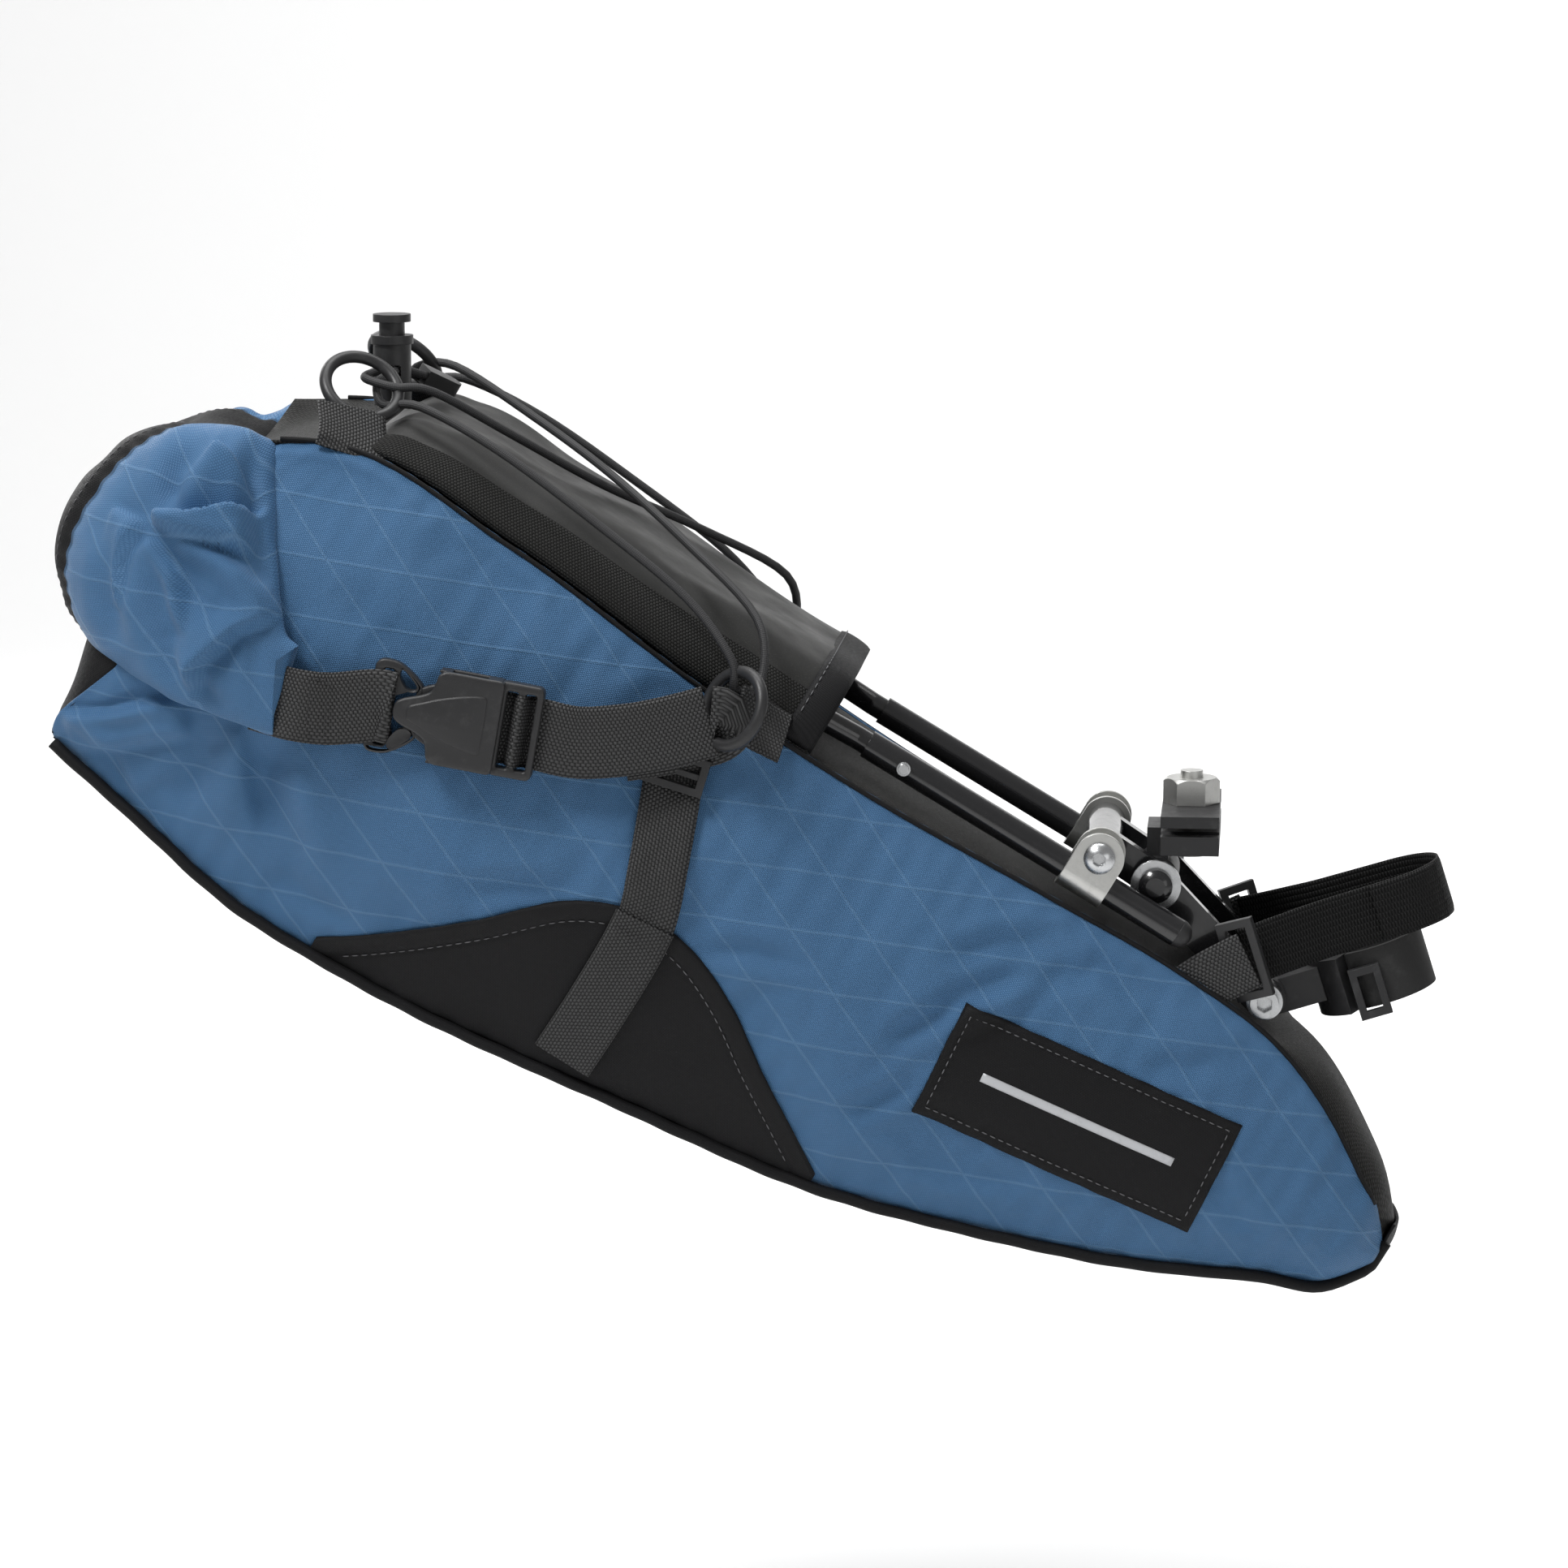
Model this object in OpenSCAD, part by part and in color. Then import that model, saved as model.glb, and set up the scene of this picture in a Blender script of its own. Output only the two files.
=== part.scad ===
// Saddle bag on a quick-release hanger rack, for a bicycle's saddle rails and seatpost.
// Units are millimetres. +X points to the bicycle's front, +Y to its left, +Z up.
// The origin is on the seatpost's axis, at the middle of the collar that holds the rack to it.

/* [Rack] */
// Slope of the rack's tubes above level, in degrees
rack_angle = 31; // [30.5:0.5:31.5]
// Outer diameter of the two front legs
leg_d = 10; // [9.6:0.1:10]
// Distance of each leg's axis from the middle plane
leg_y = 38; // [37.5:0.1:38.5]
// Diameter of the rear loop that the bag's sleeve slides on
loop_d = 8; // [7.6:0.1:8]

/* [Seatpost and rails] */
// Lean of the seatpost from upright, in degrees
post_tilt = 17.5; // [16.5:0.5:18.5]
// Radius of the seatpost that the cradle and collar hold
post_r = 15.8; // [15.6:0.1:15.8]
// Radius of the saddle rails
rail_r = 3.5; // [3.5:0.1:3.6]
// Distance of each saddle rail's axis from the middle plane
rail_y = 22; // [21.5:0.5:22.5]

/* [Bag] */
// Thickness of the bag's sewn panels
panel_t = 2.4; // [2:0.1:2.6]
// Width of the closure and compression webbing
webbing_w = 25; // [24:0.5:25]
// Thickness of the webbing
webbing_t = 1.6; // [1.2:0.1:1.8]
// Diameter of the elastic cord on top
bungee_d = 3; // [2.6:0.1:3]

/* [Hidden] */
$fn = 48;

// Colours
fabric_blue = [0.27, 0.42, 0.60];
coarse_black = [0.10, 0.10, 0.11];
webbing_black = [0.15, 0.15, 0.16];
plastic_black = [0.09, 0.09, 0.10];
paint_black = [0.05, 0.05, 0.055];
rubber_black = [0.12, 0.12, 0.12];
chrome_silver = [0.80, 0.80, 0.81];
alloy_silver = [0.74, 0.74, 0.72];

// Rack frame: x = distance up and back along the tubes, y = to the right-hand side, z = square to the tubes
leg_z = -20;
leg_front = 68;
leg_rear = 192;
plug_front = 160;
flare_front = 196;
flare_rear = 224;
loop_y = 44;
loop_bend = 322;
leg_bore_r = loop_d / 2 + 0.05;

// Spring buttons
button_x = 177;
button_r = 2.4;
button_proud = 2;
button_travel = 3;

// Clips, cross bar and their bolts
clip_x = 104.5;
clip_z = leg_z + 9;
clip_w = 17;
clip_t = 2;
clip_gap_r = leg_d / 2 + 0.05;
clip_inner_y = leg_y - clip_gap_r - clip_t;
m6_r = 3;
m6_hole_r = 3.05;
cross_bar_r = 6.5;

// Pivot between the cross bar, the brace arms and the rail clamp
pivot_x = 82;
pivot_z = -12;
pivot_r = 4;
pivot_hole_r = 4.05;
ear_inner_y = 13.3;
ear_outer_y = 19.3;
ear_r = 6;
arm_inner_y = 19.5;
arm_outer_y = 24.5;
arm_r = 6.5;
washer_r = 8.7;
washer_t = 1.8;

// Front bolt, on which the cradle turns
front_x = 29;
front_z = -27;
knuckle_r = 7.2;

// Seatpost cradle and collar, in the post's own frame
pad_t = 2.5;
cradle_t = 5;
cradle_low = -10;
cradle_high = 10;
cradle_half_angle = 58;
collar_t = 2.4;

// Rail clamp, in the level frame
rail_z = 51;
clamp_x = -65;
clamp_l = 20;
base_low = 43;
base_high = 49.5;
jaw_low = 52.5;
jaw_high = 56.5;
jaw_half_y = 30;
stud_r = 3.95;
nut_bore_r = 4;
nut_flats = 17;
nut_h = 9;

// Bag outline in the rack frame: [distance along the rack, height square to it]
TOP_SEAM = [
  [-52, -80], [-44, -70], [-30, -60], [-10, -47], [15, -36], [60, -30], [110, -30], [180, -31],
  [250, -28], [330, -20], [400, -22], [432, -40]
];
TOP_CROWN = [
  [-52, -72], [-44, -63], [-30, -52], [-10, -40], [10, -35], [30, -38], [60, -34], [100, -31],
  [215, -30], [330, -28], [400, -24], [432, -40]
];
BOTTOM_EDGE = [
  [-52, -90], [-44, -99], [-20, -109], [20, -127], [70, -144], [120, -158], [200, -168],
  [300, -177], [350, -176], [390, -168], [432, -160]
];
HALF_WIDTH = [
  [-52, 18], [-44, 25], [-20, 34], [20, 42], [100, 54], [200, 68], [300, 77], [400, 81], [432, 80]
];
LOWER_PANEL_TOP = [
  [130, -156], [145, -145], [165, -131], [185, -116], [205, -106], [236, -105], [252, -113],
  [275, -136], [300, -158], [318, -172]
];
BAG_STATIONS = [-52, -44, -30, -10, 15, 40, 60, 85, 110, 145, 180, 215, 250, 290, 330, 365, 400, 432];
top_share = 0.88;
bottom_share = 0.80;
bulge_share = 0.20;
side_rows = 10;
across_steps = 12;

function lerp(a, b, f) = a + (b - a) * f;
function half_width(x) = lookup(x, HALF_WIDTH);
function seam_z(x) = lookup(x, TOP_SEAM);
function edge_z(x) = lookup(x, BOTTOM_EDGE);
function crown_z(x) = lookup(x, TOP_CROWN);
function seam_y(x) = half_width(x) * top_share;
function edge_y(x) = half_width(x) * bottom_share;
function side_share(x, z) = max(0, min(1, (seam_z(x) - z) / (seam_z(x) - edge_z(x))));
function side_at(x, f) = lerp(seam_y(x), edge_y(x), f) + half_width(x) * bulge_share * sin(180 * f);
function side_y(x, z) = side_at(x, side_share(x, z));

// Conversions from the rack frame to the level frame and the post's frame
function level_x(x, z) = -x * cos(rack_angle) + z * sin(rack_angle);
function level_z(x, z) = x * sin(rack_angle) + z * cos(rack_angle);
function post_x(x, z) = level_x(x, z) * cos(post_tilt) + level_z(x, z) * sin(post_tilt);
function post_z(x, z) = -level_x(x, z) * sin(post_tilt) + level_z(x, z) * cos(post_tilt);

module rack_frame() {
  rotate([0, 0, 180]) rotate([0, -rack_angle, 0]) children();
}

module post_frame() {
  rotate([0, -post_tilt, 0]) children();
}

module both_sides() {
  children();
  mirror([0, 1, 0]) children();
}

// A round bar along Y from y0 to y1, at x and z
module bar_y(x, z, r, y0, y1) {
  translate([x, y0, z]) rotate([-90, 0, 0]) cylinder(r = r, h = y1 - y0);
}

// A hexagonal bar along Y, with its size across flats
module hex_y(x, z, flats, y0, y1) {
  translate([x, y0, z]) rotate([-90, 0, 0]) cylinder(r = flats / 2 / cos(30), h = y1 - y0, $fn = 6);
}

// A flat link with round ends, square to Y, from a to b, each [x, z]
module link_y(a, b, r, y0, y1) {
  d = b - a;
  translate([a[0], y1, a[1]])
    rotate([90, -atan2(d[1], d[0]), 0])
      linear_extrude(y1 - y0) {
        circle(r);
        translate([norm(d), 0]) circle(r);
        translate([0, -r]) square([norm(d), 2 * r]);
      }
}

// ---------- Rack ----------

module loop_side() {
  translate([plug_front, leg_y, leg_z]) rotate([0, 90, 0]) cylinder(d = loop_d, h = flare_front - plug_front);
  translate([flare_front, leg_y, leg_z]) sphere(d = loop_d);
  flare = [flare_rear - flare_front, loop_y - leg_y];
  translate([flare_front, leg_y, leg_z])
    rotate([0, 0, atan2(flare[1], flare[0])]) rotate([0, 90, 0]) cylinder(d = loop_d, h = norm(flare));
  translate([flare_rear, loop_y, leg_z]) sphere(d = loop_d);
  translate([flare_rear, loop_y, leg_z]) rotate([0, 90, 0]) cylinder(d = loop_d, h = loop_bend - flare_rear);
}

module rack_loop() {
  color(paint_black) rack_frame() difference() {
    union() {
      both_sides() loop_side();
      translate([loop_bend, 0, leg_z]) rotate([0, 0, -90])
        rotate_extrude(angle = 180) translate([loop_y, 0]) circle(d = loop_d);
    }
    both_sides() bar_y(button_x, leg_z, button_r + 0.05, leg_y - 3.4, leg_y + leg_d);
  }
}

module rack_leg() {
  color(paint_black) difference() {
    translate([leg_front, leg_y, leg_z]) rotate([0, 90, 0]) cylinder(d = leg_d, h = leg_rear - leg_front);
    translate([leg_front - 1, leg_y, leg_z]) rotate([0, 90, 0])
      cylinder(r = leg_bore_r, h = leg_rear - leg_front + 2);
    bar_y(button_x, leg_z, button_r + 0.05, leg_y, leg_y + leg_d);
  }
}

module rack_leg_right() {
  rack_frame() rack_leg();
}

module rack_leg_left() {
  rack_frame() mirror([0, 1, 0]) rack_leg();
}

module leg_end_caps() {
  color(plastic_black) rack_frame() both_sides() translate([leg_front, leg_y, leg_z]) {
    rotate([0, 90, 0]) cylinder(r = leg_bore_r - 0.05, h = 10);
    intersection() {
      sphere(d = leg_d);
      translate([-leg_d / 2, 0, 0]) cube([leg_d, leg_d, leg_d], center = true);
    }
  }
}

module snap_button() {
  color(chrome_silver) {
    bar_y(button_x, leg_z, button_r, leg_y + 0.2, leg_y + leg_d / 2 + button_proud - 0.6);
    bar_y(button_x, leg_z, button_r - 0.6, leg_y + 0.2, leg_y + leg_d / 2 + button_proud);
  }
}

module snap_button_right() {
  rack_frame() snap_button();
}

module snap_button_left() {
  rack_frame() mirror([0, 1, 0]) snap_button();
}

module clip_section(r) {
  translate([leg_y, leg_z]) circle(r);
  translate([leg_y - r, leg_z]) square([2 * r, clip_z - leg_z + clip_w]);
}

module tube_clip() {
  difference() {
    intersection() {
      translate([clip_x - clip_w / 2, 0, 0]) rotate([90, 0, 90]) linear_extrude(clip_w) difference() {
        clip_section(clip_gap_r + clip_t);
        clip_section(clip_gap_r);
      }
      union() {
        bar_y(clip_x, clip_z, clip_w / 2, 20, 60);
        translate([clip_x - clip_w / 2, 20, leg_z - 20]) cube([clip_w, 40, clip_z - leg_z + 20]);
      }
    }
    bar_y(clip_x, clip_z, m6_hole_r, 20, 60);
  }
}

module tube_clips() {
  color(alloy_silver) rack_frame() both_sides() tube_clip();
}

module clip_spacers() {
  color(alloy_silver) rack_frame() both_sides() difference() {
    bar_y(clip_x, clip_z, 3.85, clip_inner_y + clip_t + 0.05, leg_y + clip_gap_r - 0.05);
    bar_y(clip_x, clip_z, m6_hole_r, 20, 60);
  }
}

module clip_bolt() {
  head_y = leg_y + clip_gap_r + clip_t;
  difference() {
    union() {
      bar_y(clip_x, clip_z, m6_r, 20, head_y + 1);
      intersection() {
        bar_y(clip_x, clip_z, 5.4, head_y, head_y + 3.3);
        translate([clip_x, head_y - 3.2, clip_z]) sphere(6.9);
      }
    }
    hex_y(clip_x, clip_z, 4, head_y + 1.4, head_y + 5);
  }
}

module clip_bolts() {
  color(chrome_silver) rack_frame() both_sides() clip_bolt();
}

module cross_bar() {
  color(paint_black) rack_frame() difference() {
    union() {
      bar_y(clip_x, clip_z, cross_bar_r, -clip_inner_y + 0.05, clip_inner_y - 0.05);
      both_sides() link_y([clip_x, clip_z], [pivot_x, pivot_z], ear_r, ear_inner_y, ear_outer_y);
    }
    bar_y(pivot_x, pivot_z, pivot_hole_r, -30, 30);
    both_sides() bar_y(clip_x, clip_z, m6_hole_r, 18, 40);
  }
}

module pivot_bolt() {
  head_y = arm_outer_y + washer_t + 0.2;
  color(paint_black) rack_frame() {
    bar_y(pivot_x, pivot_z, pivot_r, -head_y - 7, head_y + 1);
    intersection() {
      bar_y(pivot_x, pivot_z, 5.8, head_y, head_y + 4);
      translate([pivot_x, head_y - 3.5, pivot_z]) sphere(8.2);
    }
  }
}

module pivot_washers() {
  color(chrome_silver) rack_frame() both_sides() difference() {
    bar_y(pivot_x, pivot_z, washer_r, arm_outer_y + 0.1, arm_outer_y + 0.1 + washer_t);
    bar_y(pivot_x, pivot_z, pivot_hole_r, 20, 40);
  }
}

module lock_nuts() {
  pivot_nut_y = arm_outer_y + washer_t + 0.2;
  color(alloy_silver) rack_frame() {
    difference() {
      hex_y(pivot_x, pivot_z, 13, -pivot_nut_y - 5, -pivot_nut_y);
      bar_y(pivot_x, pivot_z, pivot_hole_r, -40, 0);
    }
    difference() {
      hex_y(front_x, front_z, 10, -arm_outer_y - 4.6, -arm_outer_y - 0.1);
      bar_y(front_x, front_z, m6_hole_r, -40, 0);
    }
  }
}

module brace_arms() {
  color(paint_black) rack_frame() both_sides() difference() {
    link_y([pivot_x, pivot_z], [front_x, front_z], arm_r, arm_inner_y, arm_outer_y);
    bar_y(pivot_x, pivot_z, pivot_hole_r, 10, 30);
    bar_y(front_x, front_z, m6_hole_r, 10, 30);
  }
}

module front_bolt() {
  head_y = arm_outer_y + 0.1;
  color(chrome_silver) rack_frame() difference() {
    union() {
      bar_y(front_x, front_z, m6_r, -arm_outer_y - 5.6, head_y + 1);
      bar_y(front_x, front_z, 6.3, head_y, head_y + 1.2);
      bar_y(front_x, front_z, 5, head_y + 1, head_y + 6);
    }
    hex_y(front_x, front_z, 5, head_y + 3, head_y + 8);
  }
}

// A ring segment round the post, centred on the rear, from radius r0 to r1
module rear_segment(r0, r1, z0, z1, half_angle) {
  translate([0, 0, z0]) rotate([0, 0, 180 - half_angle])
    rotate_extrude(angle = 2 * half_angle) translate([r0, 0]) square([r1 - r0, z1 - z0]);
}

module seatpost_cradle() {
  bolt_x = post_x(front_x, front_z);
  bolt_z = post_z(front_x, front_z);
  cradle_r = post_r + pad_t + 0.05;
  color(plastic_black) post_frame() difference() {
    union() {
      rear_segment(cradle_r, cradle_r + cradle_t, cradle_low, cradle_high, cradle_half_angle);
      bar_y(bolt_x, bolt_z, knuckle_r, -19.2, 19.2);
      translate([bolt_x, -14, -4]) cube([-bolt_x - cradle_r - 1, 28, 12]);
    }
    bar_y(bolt_x, bolt_z, m6_hole_r, -30, 30);
    translate([0, 0, -40]) cylinder(r = cradle_r, h = 80);
  }
}

module cradle_pad() {
  color(rubber_black) post_frame()
    rear_segment(post_r, post_r + pad_t, cradle_low, cradle_high, cradle_half_angle - 1);
}

module post_collar() {
  color(rubber_black) post_frame() translate([0, 0, cradle_low])
    rotate([0, 0, cradle_half_angle - 180 + 1.5])
      rotate_extrude(angle = 360 - 2 * cradle_half_angle - 3)
        translate([post_r, 0]) square([collar_t, cradle_high - cradle_low]);
}

// A rectangular ring, outer size a by b, bar width w and thickness t
module rectangle_ring(a, b, w, t) {
  linear_extrude(t, center = true) difference() {
    square([a, b], center = true);
    square([a - 2 * w, b - 2 * w], center = true);
  }
}

module collar_ring() {
  color(plastic_black) post_frame() translate([-4, -post_r - collar_t - 1.8, -4]) rotate([90, 0, 0])
    rectangle_ring(11, 18, 2.6, 3);
}

// ---------- Rail clamp ----------

module rail_grooves() {
  both_sides() translate([clamp_x - 30, rail_y, rail_z]) rotate([0, 90, 0]) cylinder(r = rail_r, h = 60);
}

module rail_clamp_base() {
  lug_x = level_x(pivot_x, pivot_z);
  lug_z = level_z(pivot_x, pivot_z);
  color(plastic_black) difference() {
    union() {
      translate([clamp_x - clamp_l / 2, -jaw_half_y, base_low])
        cube([clamp_l, 2 * jaw_half_y, base_high - base_low]);
      bar_y(lug_x, lug_z, 7.5, -13, 13);
      translate([lug_x - 3.5, -11, lug_z]) cube([7.3, 22, base_high - lug_z]);
    }
    bar_y(lug_x, lug_z, pivot_hole_r, -20, 20);
    translate([clamp_x, 0, 0]) cylinder(r = pivot_hole_r, h = 80);
    rail_grooves();
  }
}

module rail_clamp_jaw() {
  color(plastic_black) difference() {
    translate([clamp_x - clamp_l / 2, -jaw_half_y, jaw_low])
      cube([clamp_l, 2 * jaw_half_y, jaw_high - jaw_low]);
    translate([clamp_x, 0, 0]) cylinder(r = 4.4, h = 80);
    rail_grooves();
  }
}

module clamp_stud() {
  color(alloy_silver) translate([clamp_x, 0, 0]) {
    translate([0, 0, base_low - 4.6]) cylinder(r = 6, h = 4.5);
    translate([0, 0, base_low - 1]) cylinder(r = stud_r, h = 26);
  }
}

module clamp_nut() {
  nut_z = jaw_high + 0.05;
  color(alloy_silver) translate([clamp_x, 0, nut_z]) difference() {
    intersection() {
      cylinder(r = nut_flats / 2 / cos(30), h = nut_h, $fn = 6);
      cylinder(r1 = nut_flats / 2 + nut_h, r2 = nut_flats / 2, h = nut_h);
    }
    translate([0, 0, -1]) cylinder(r = nut_bore_r, h = nut_h + 2);
  }
}

// ---------- Bag panels ----------

// A thin closed solid between two grids of points. Rows run along i and columns along j,
// and the cross product of the two directions points from the inner grid to the outer one.
module grid_solid(outer, inner) {
  rows = len(outer);
  cols = len(outer[0]);
  half = rows * cols;
  points = concat([for (row = outer) each row], [for (row = inner) each row]);
  faces = [
    for (i = [0:rows - 2], j = [0:cols - 2], k = [0:3])
      let (a = i * cols + j, b = a + 1, c = a + cols, d = c + 1)
        k == 0 ? [a, d, c]
          : k == 1 ? [a, b, d]
          : k == 2 ? [a + half, c + half, d + half]
          : [a + half, d + half, b + half]
  ];
  long_edges = [
    for (i = [0:rows - 2], k = [0:3])
      let (a = i * cols, c = a + cols, b = a + cols - 1, d = b + cols)
        k == 0 ? [a, c, c + half]
          : k == 1 ? [a, c + half, a + half]
          : k == 2 ? [b, b + half, d + half]
          : [b, d + half, d]
  ];
  end_edges = [
    for (j = [0:cols - 2], k = [0:3])
      let (a = j, b = j + 1, c = (rows - 1) * cols + j, d = c + 1)
        k == 0 ? [a, a + half, b + half]
          : k == 1 ? [a, b + half, b]
          : k == 2 ? [c, d, d + half]
          : [c, d + half, c + half]
  ];
  polyhedron(points = points, faces = concat(faces, long_edges, end_edges));
}

function side_grid(lift) = [
  for (x = BAG_STATIONS) [
    for (j = [0:side_rows])
      let (f = j / side_rows) [x, side_at(x, f) + lift, lerp(seam_z(x), edge_z(x), f)]
  ]
];

module side_panel() {
  color(fabric_blue) grid_solid(side_grid(0), side_grid(-panel_t));
}

module side_panel_right() {
  rack_frame() side_panel();
}

module side_panel_left() {
  rack_frame() mirror([0, 1, 0]) side_panel();
}

// The panel across the bag: height goes from the seam at each side to the crown in the middle
function across_grid(stations, inset, drop, way) = [
  for (x = stations) [
    for (j = [0:across_steps])
      let (w = way * (2 * j / across_steps - 1), y = (way > 0 ? seam_y(x) : edge_y(x)) - inset)
        [x, w * y, way > 0
          ? lerp(crown_z(x), seam_z(x), pow(abs(w), 3)) - drop
          : edge_z(x) - 3 * (1 - w * w) + drop]
  ]
];

module top_panel() {
  color(coarse_black) rack_frame()
    grid_solid(across_grid(BAG_STATIONS, panel_t, 0, 1), across_grid(BAG_STATIONS, panel_t, panel_t, 1));
}

module bottom_panel() {
  color(coarse_black) rack_frame()
    grid_solid(across_grid(BAG_STATIONS, panel_t, 0, -1), across_grid(BAG_STATIONS, panel_t, panel_t, -1));
}

function nose_grid(depth) = [
  for (i = [0:4]) let (f = i / 4) [
    for (j = [0:across_steps])
      let (w = 2 * j / across_steps - 1)
        [
          BAG_STATIONS[0] - 5 * (1 - w * w) * sin(180 * (0.2 + 0.6 * f)) + depth,
          w * 15.5,
          lerp(-88.5, -74, f)
        ]
  ]
];

module front_panel() {
  color(coarse_black) rack_frame() grid_solid(nose_grid(0), nose_grid(panel_t));
}

rear_low = -159;
rear_high = -112;
function tail_grid(depth) = [
  for (j = [0:across_steps]) let (w = 2 * j / across_steps - 1) [
    for (i = [0:5])
      let (f = i / 5)
        [431 - 14 * f - 8 * pow(w, 4) - depth, w * (edge_y(431) - panel_t), lerp(rear_low, rear_high, f)]
  ]
];

module rear_panel() {
  color(fabric_blue) rack_frame() grid_solid(tail_grid(0), tail_grid(panel_t));
}

// Roll-top closure: an oval tube across the rear whose ends bend forward and flatten.
// Each entry is [x, y, z, half depth, half height], from the middle to the right-hand tip.
ROLL_HALF = [
  [428, 0, -82, 33, 39], [428, 22, -82, 33, 39], [428, 42, -82, 32.5, 38.5], [427, 58, -82.5, 30, 37],
  [422, 70, -84, 25, 34], [412, 79, -87, 18, 29], [400, 85, -90, 11, 24], [386, 88.5, -95, 6.5, 19],
  [374, 90, -99, 4.5, 15], [364, 90.5, -102, 3, 12.5]
];
roll_sides = 20;
roll_at = [ROLL_HALF[0][0], ROLL_HALF[0][2]];
ROLL_PATH = concat(
  [for (i = [len(ROLL_HALF) - 1:-1:1]) let (p = ROLL_HALF[i]) [p[0], -p[1], p[2], p[3], p[4]]],
  ROLL_HALF
);

function roll_ring(i) =
  let (
    last = len(ROLL_PATH) - 1,
    p = ROLL_PATH[i],
    a = ROLL_PATH[max(0, i - 1)],
    b = ROLL_PATH[min(last, i + 1)],
    run = [b[0] - a[0], b[1] - a[1]],
    out = [run[1], -run[0]] / norm(run)
  )
  [
    for (k = [0:roll_sides - 1])
      let (t = 360 * k / roll_sides)
        [p[0] + out[0] * p[3] * cos(t), p[1] + out[1] * p[3] * cos(t), p[2] + p[4] * sin(t)]
  ];

// A closed tube through a list of rings with the same number of points
module ring_solid(rings, flip = false) {
  n = len(rings[0]);
  m = len(rings);
  body = [
    for (i = [0:m - 2], k = [0:n - 1], h = [0, 1])
      let (a = i * n + k, b = i * n + (k + 1) % n, c = a + n, d = b + n) h == 0 ? [a, b, d] : [a, d, c]
  ];
  ends = [[for (k = [n - 1:-1:0]) k], [for (k = [0:n - 1]) (m - 1) * n + k]];
  faces = concat(body, ends);
  polyhedron(
    points = [for (ring = rings) each ring],
    faces = flip ? [for (f = faces) [for (k = [len(f) - 1:-1:0]) f[k]]] : faces
  );
}

module roll_top() {
  color(fabric_blue) rack_frame() ring_solid([for (i = [0:len(ROLL_PATH) - 1]) roll_ring(i)]);
}

module closure_stiffener() {
  color(plastic_black) rack_frame() translate([roll_at[0], 0, roll_at[1]]) cube([1.5, 96, 22], center = true);
}

BOARD_STATIONS = [60, 110, 160, 215, 270, 330, 380];
function board_grid(rise) = [
  for (x = BOARD_STATIONS) [
    for (j = [0:6])
      let (w = 1 - j / 3) [x, w * (edge_y(x) - 14), edge_z(x) + 1.5 + rise]
  ]
];

module base_stiffener() {
  color(plastic_black) rack_frame() grid_solid(board_grid(0), board_grid(2));
}

PATCH_STATIONS = [132, 145, 165, 185, 205, 220, 236, 252, 275, 300, 316];
function patch_grid(lift) = [
  for (x = PATCH_STATIONS) [
    for (j = [0:5])
      let (z = lerp(lookup(x, LOWER_PANEL_TOP), edge_z(x), j / 5)) [x, side_y(x, z) + lift, z]
  ]
];

module lower_panel() {
  color(coarse_black) grid_solid(patch_grid(1.5), patch_grid(0.05));
}

module lower_panel_right() {
  rack_frame() lower_panel();
}

module lower_panel_left() {
  rack_frame() mirror([0, 1, 0]) lower_panel();
}

// Rings of a round tube along a list of points
function tube_ring(path, i, r, n) =
  let (
    last = len(path) - 1,
    run = path[min(last, i + 1)] - path[max(0, i - 1)],
    t = run / norm(run),
    side = cross(t, [0.12, 0.08, 1]),
    u = side / norm(side),
    v = cross(t, u)
  )
  [for (k = [0:n - 1]) path[i] + r * cos(360 * k / n) * u + r * sin(360 * k / n) * v];

module tube_along(path, r, n = 8) {
  ring_solid([for (i = [0:len(path) - 1]) tube_ring(path, i, r, n)], true);
}

module edge_binding() {
  color(coarse_black) rack_frame() both_sides()
    tube_along([for (x = BAG_STATIONS) [x, edge_y(x) + 1, edge_z(x) - 1.5]], 2.2);
}

// Sleeve over the rack's loop
SLEEVE_STATIONS = [212, 225, 250, 290, 330, 365, 376, 386, 392];
SLEEVE_CREST = [[212, -2], [330, 0], [376, -1], [386, -9], [392, -19]];
sleeve_steps = 20;
function sleeve_foot(x) = seam_y(x) - 4;
function sleeve_arch(w) = pow(1 - pow(abs(w), 4), 0.6);
function sleeve_grid(stations, gap) = [
  for (x = stations) [
    for (j = [0:sleeve_steps])
      let (w = 2 * j / sleeve_steps - 1, low = seam_z(x) + 1, high = lookup(x, SLEEVE_CREST) + gap)
        [x, w * (sleeve_foot(x) + gap), low + (high - low) * sleeve_arch(w)]
  ]
];

module rack_sleeve() {
  color(coarse_black) rack_frame()
    grid_solid(sleeve_grid(SLEEVE_STATIONS, 0), sleeve_grid(SLEEVE_STATIONS, -2));
}

module sleeve_binding() {
  color(coarse_black) rack_frame() grid_solid(sleeve_grid([208, 222], 1.5), sleeve_grid([208, 222], 0.05));
}

// Side label, lying on the right-hand panel
label_x = 64;
label_z = -91;
label_l = 104;
label_h = 43;
label_turn = 5.5;
function label_grid(lift) = [
  for (i = [0:8]) [
    for (j = [0:5])
      let (
        a = (i / 8 - 0.5) * label_l,
        b = (0.5 - j / 5) * label_h,
        x = label_x + a * cos(label_turn) + b * sin(label_turn),
        z = label_z - a * sin(label_turn) + b * cos(label_turn)
      )
      [x, side_y(x, z) + lift, z]
  ]
];

module label_patch() {
  color(coarse_black) rack_frame() grid_solid(label_grid(1.4), label_grid(0.05));
}

// ---------- Straps and buckles ----------

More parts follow.
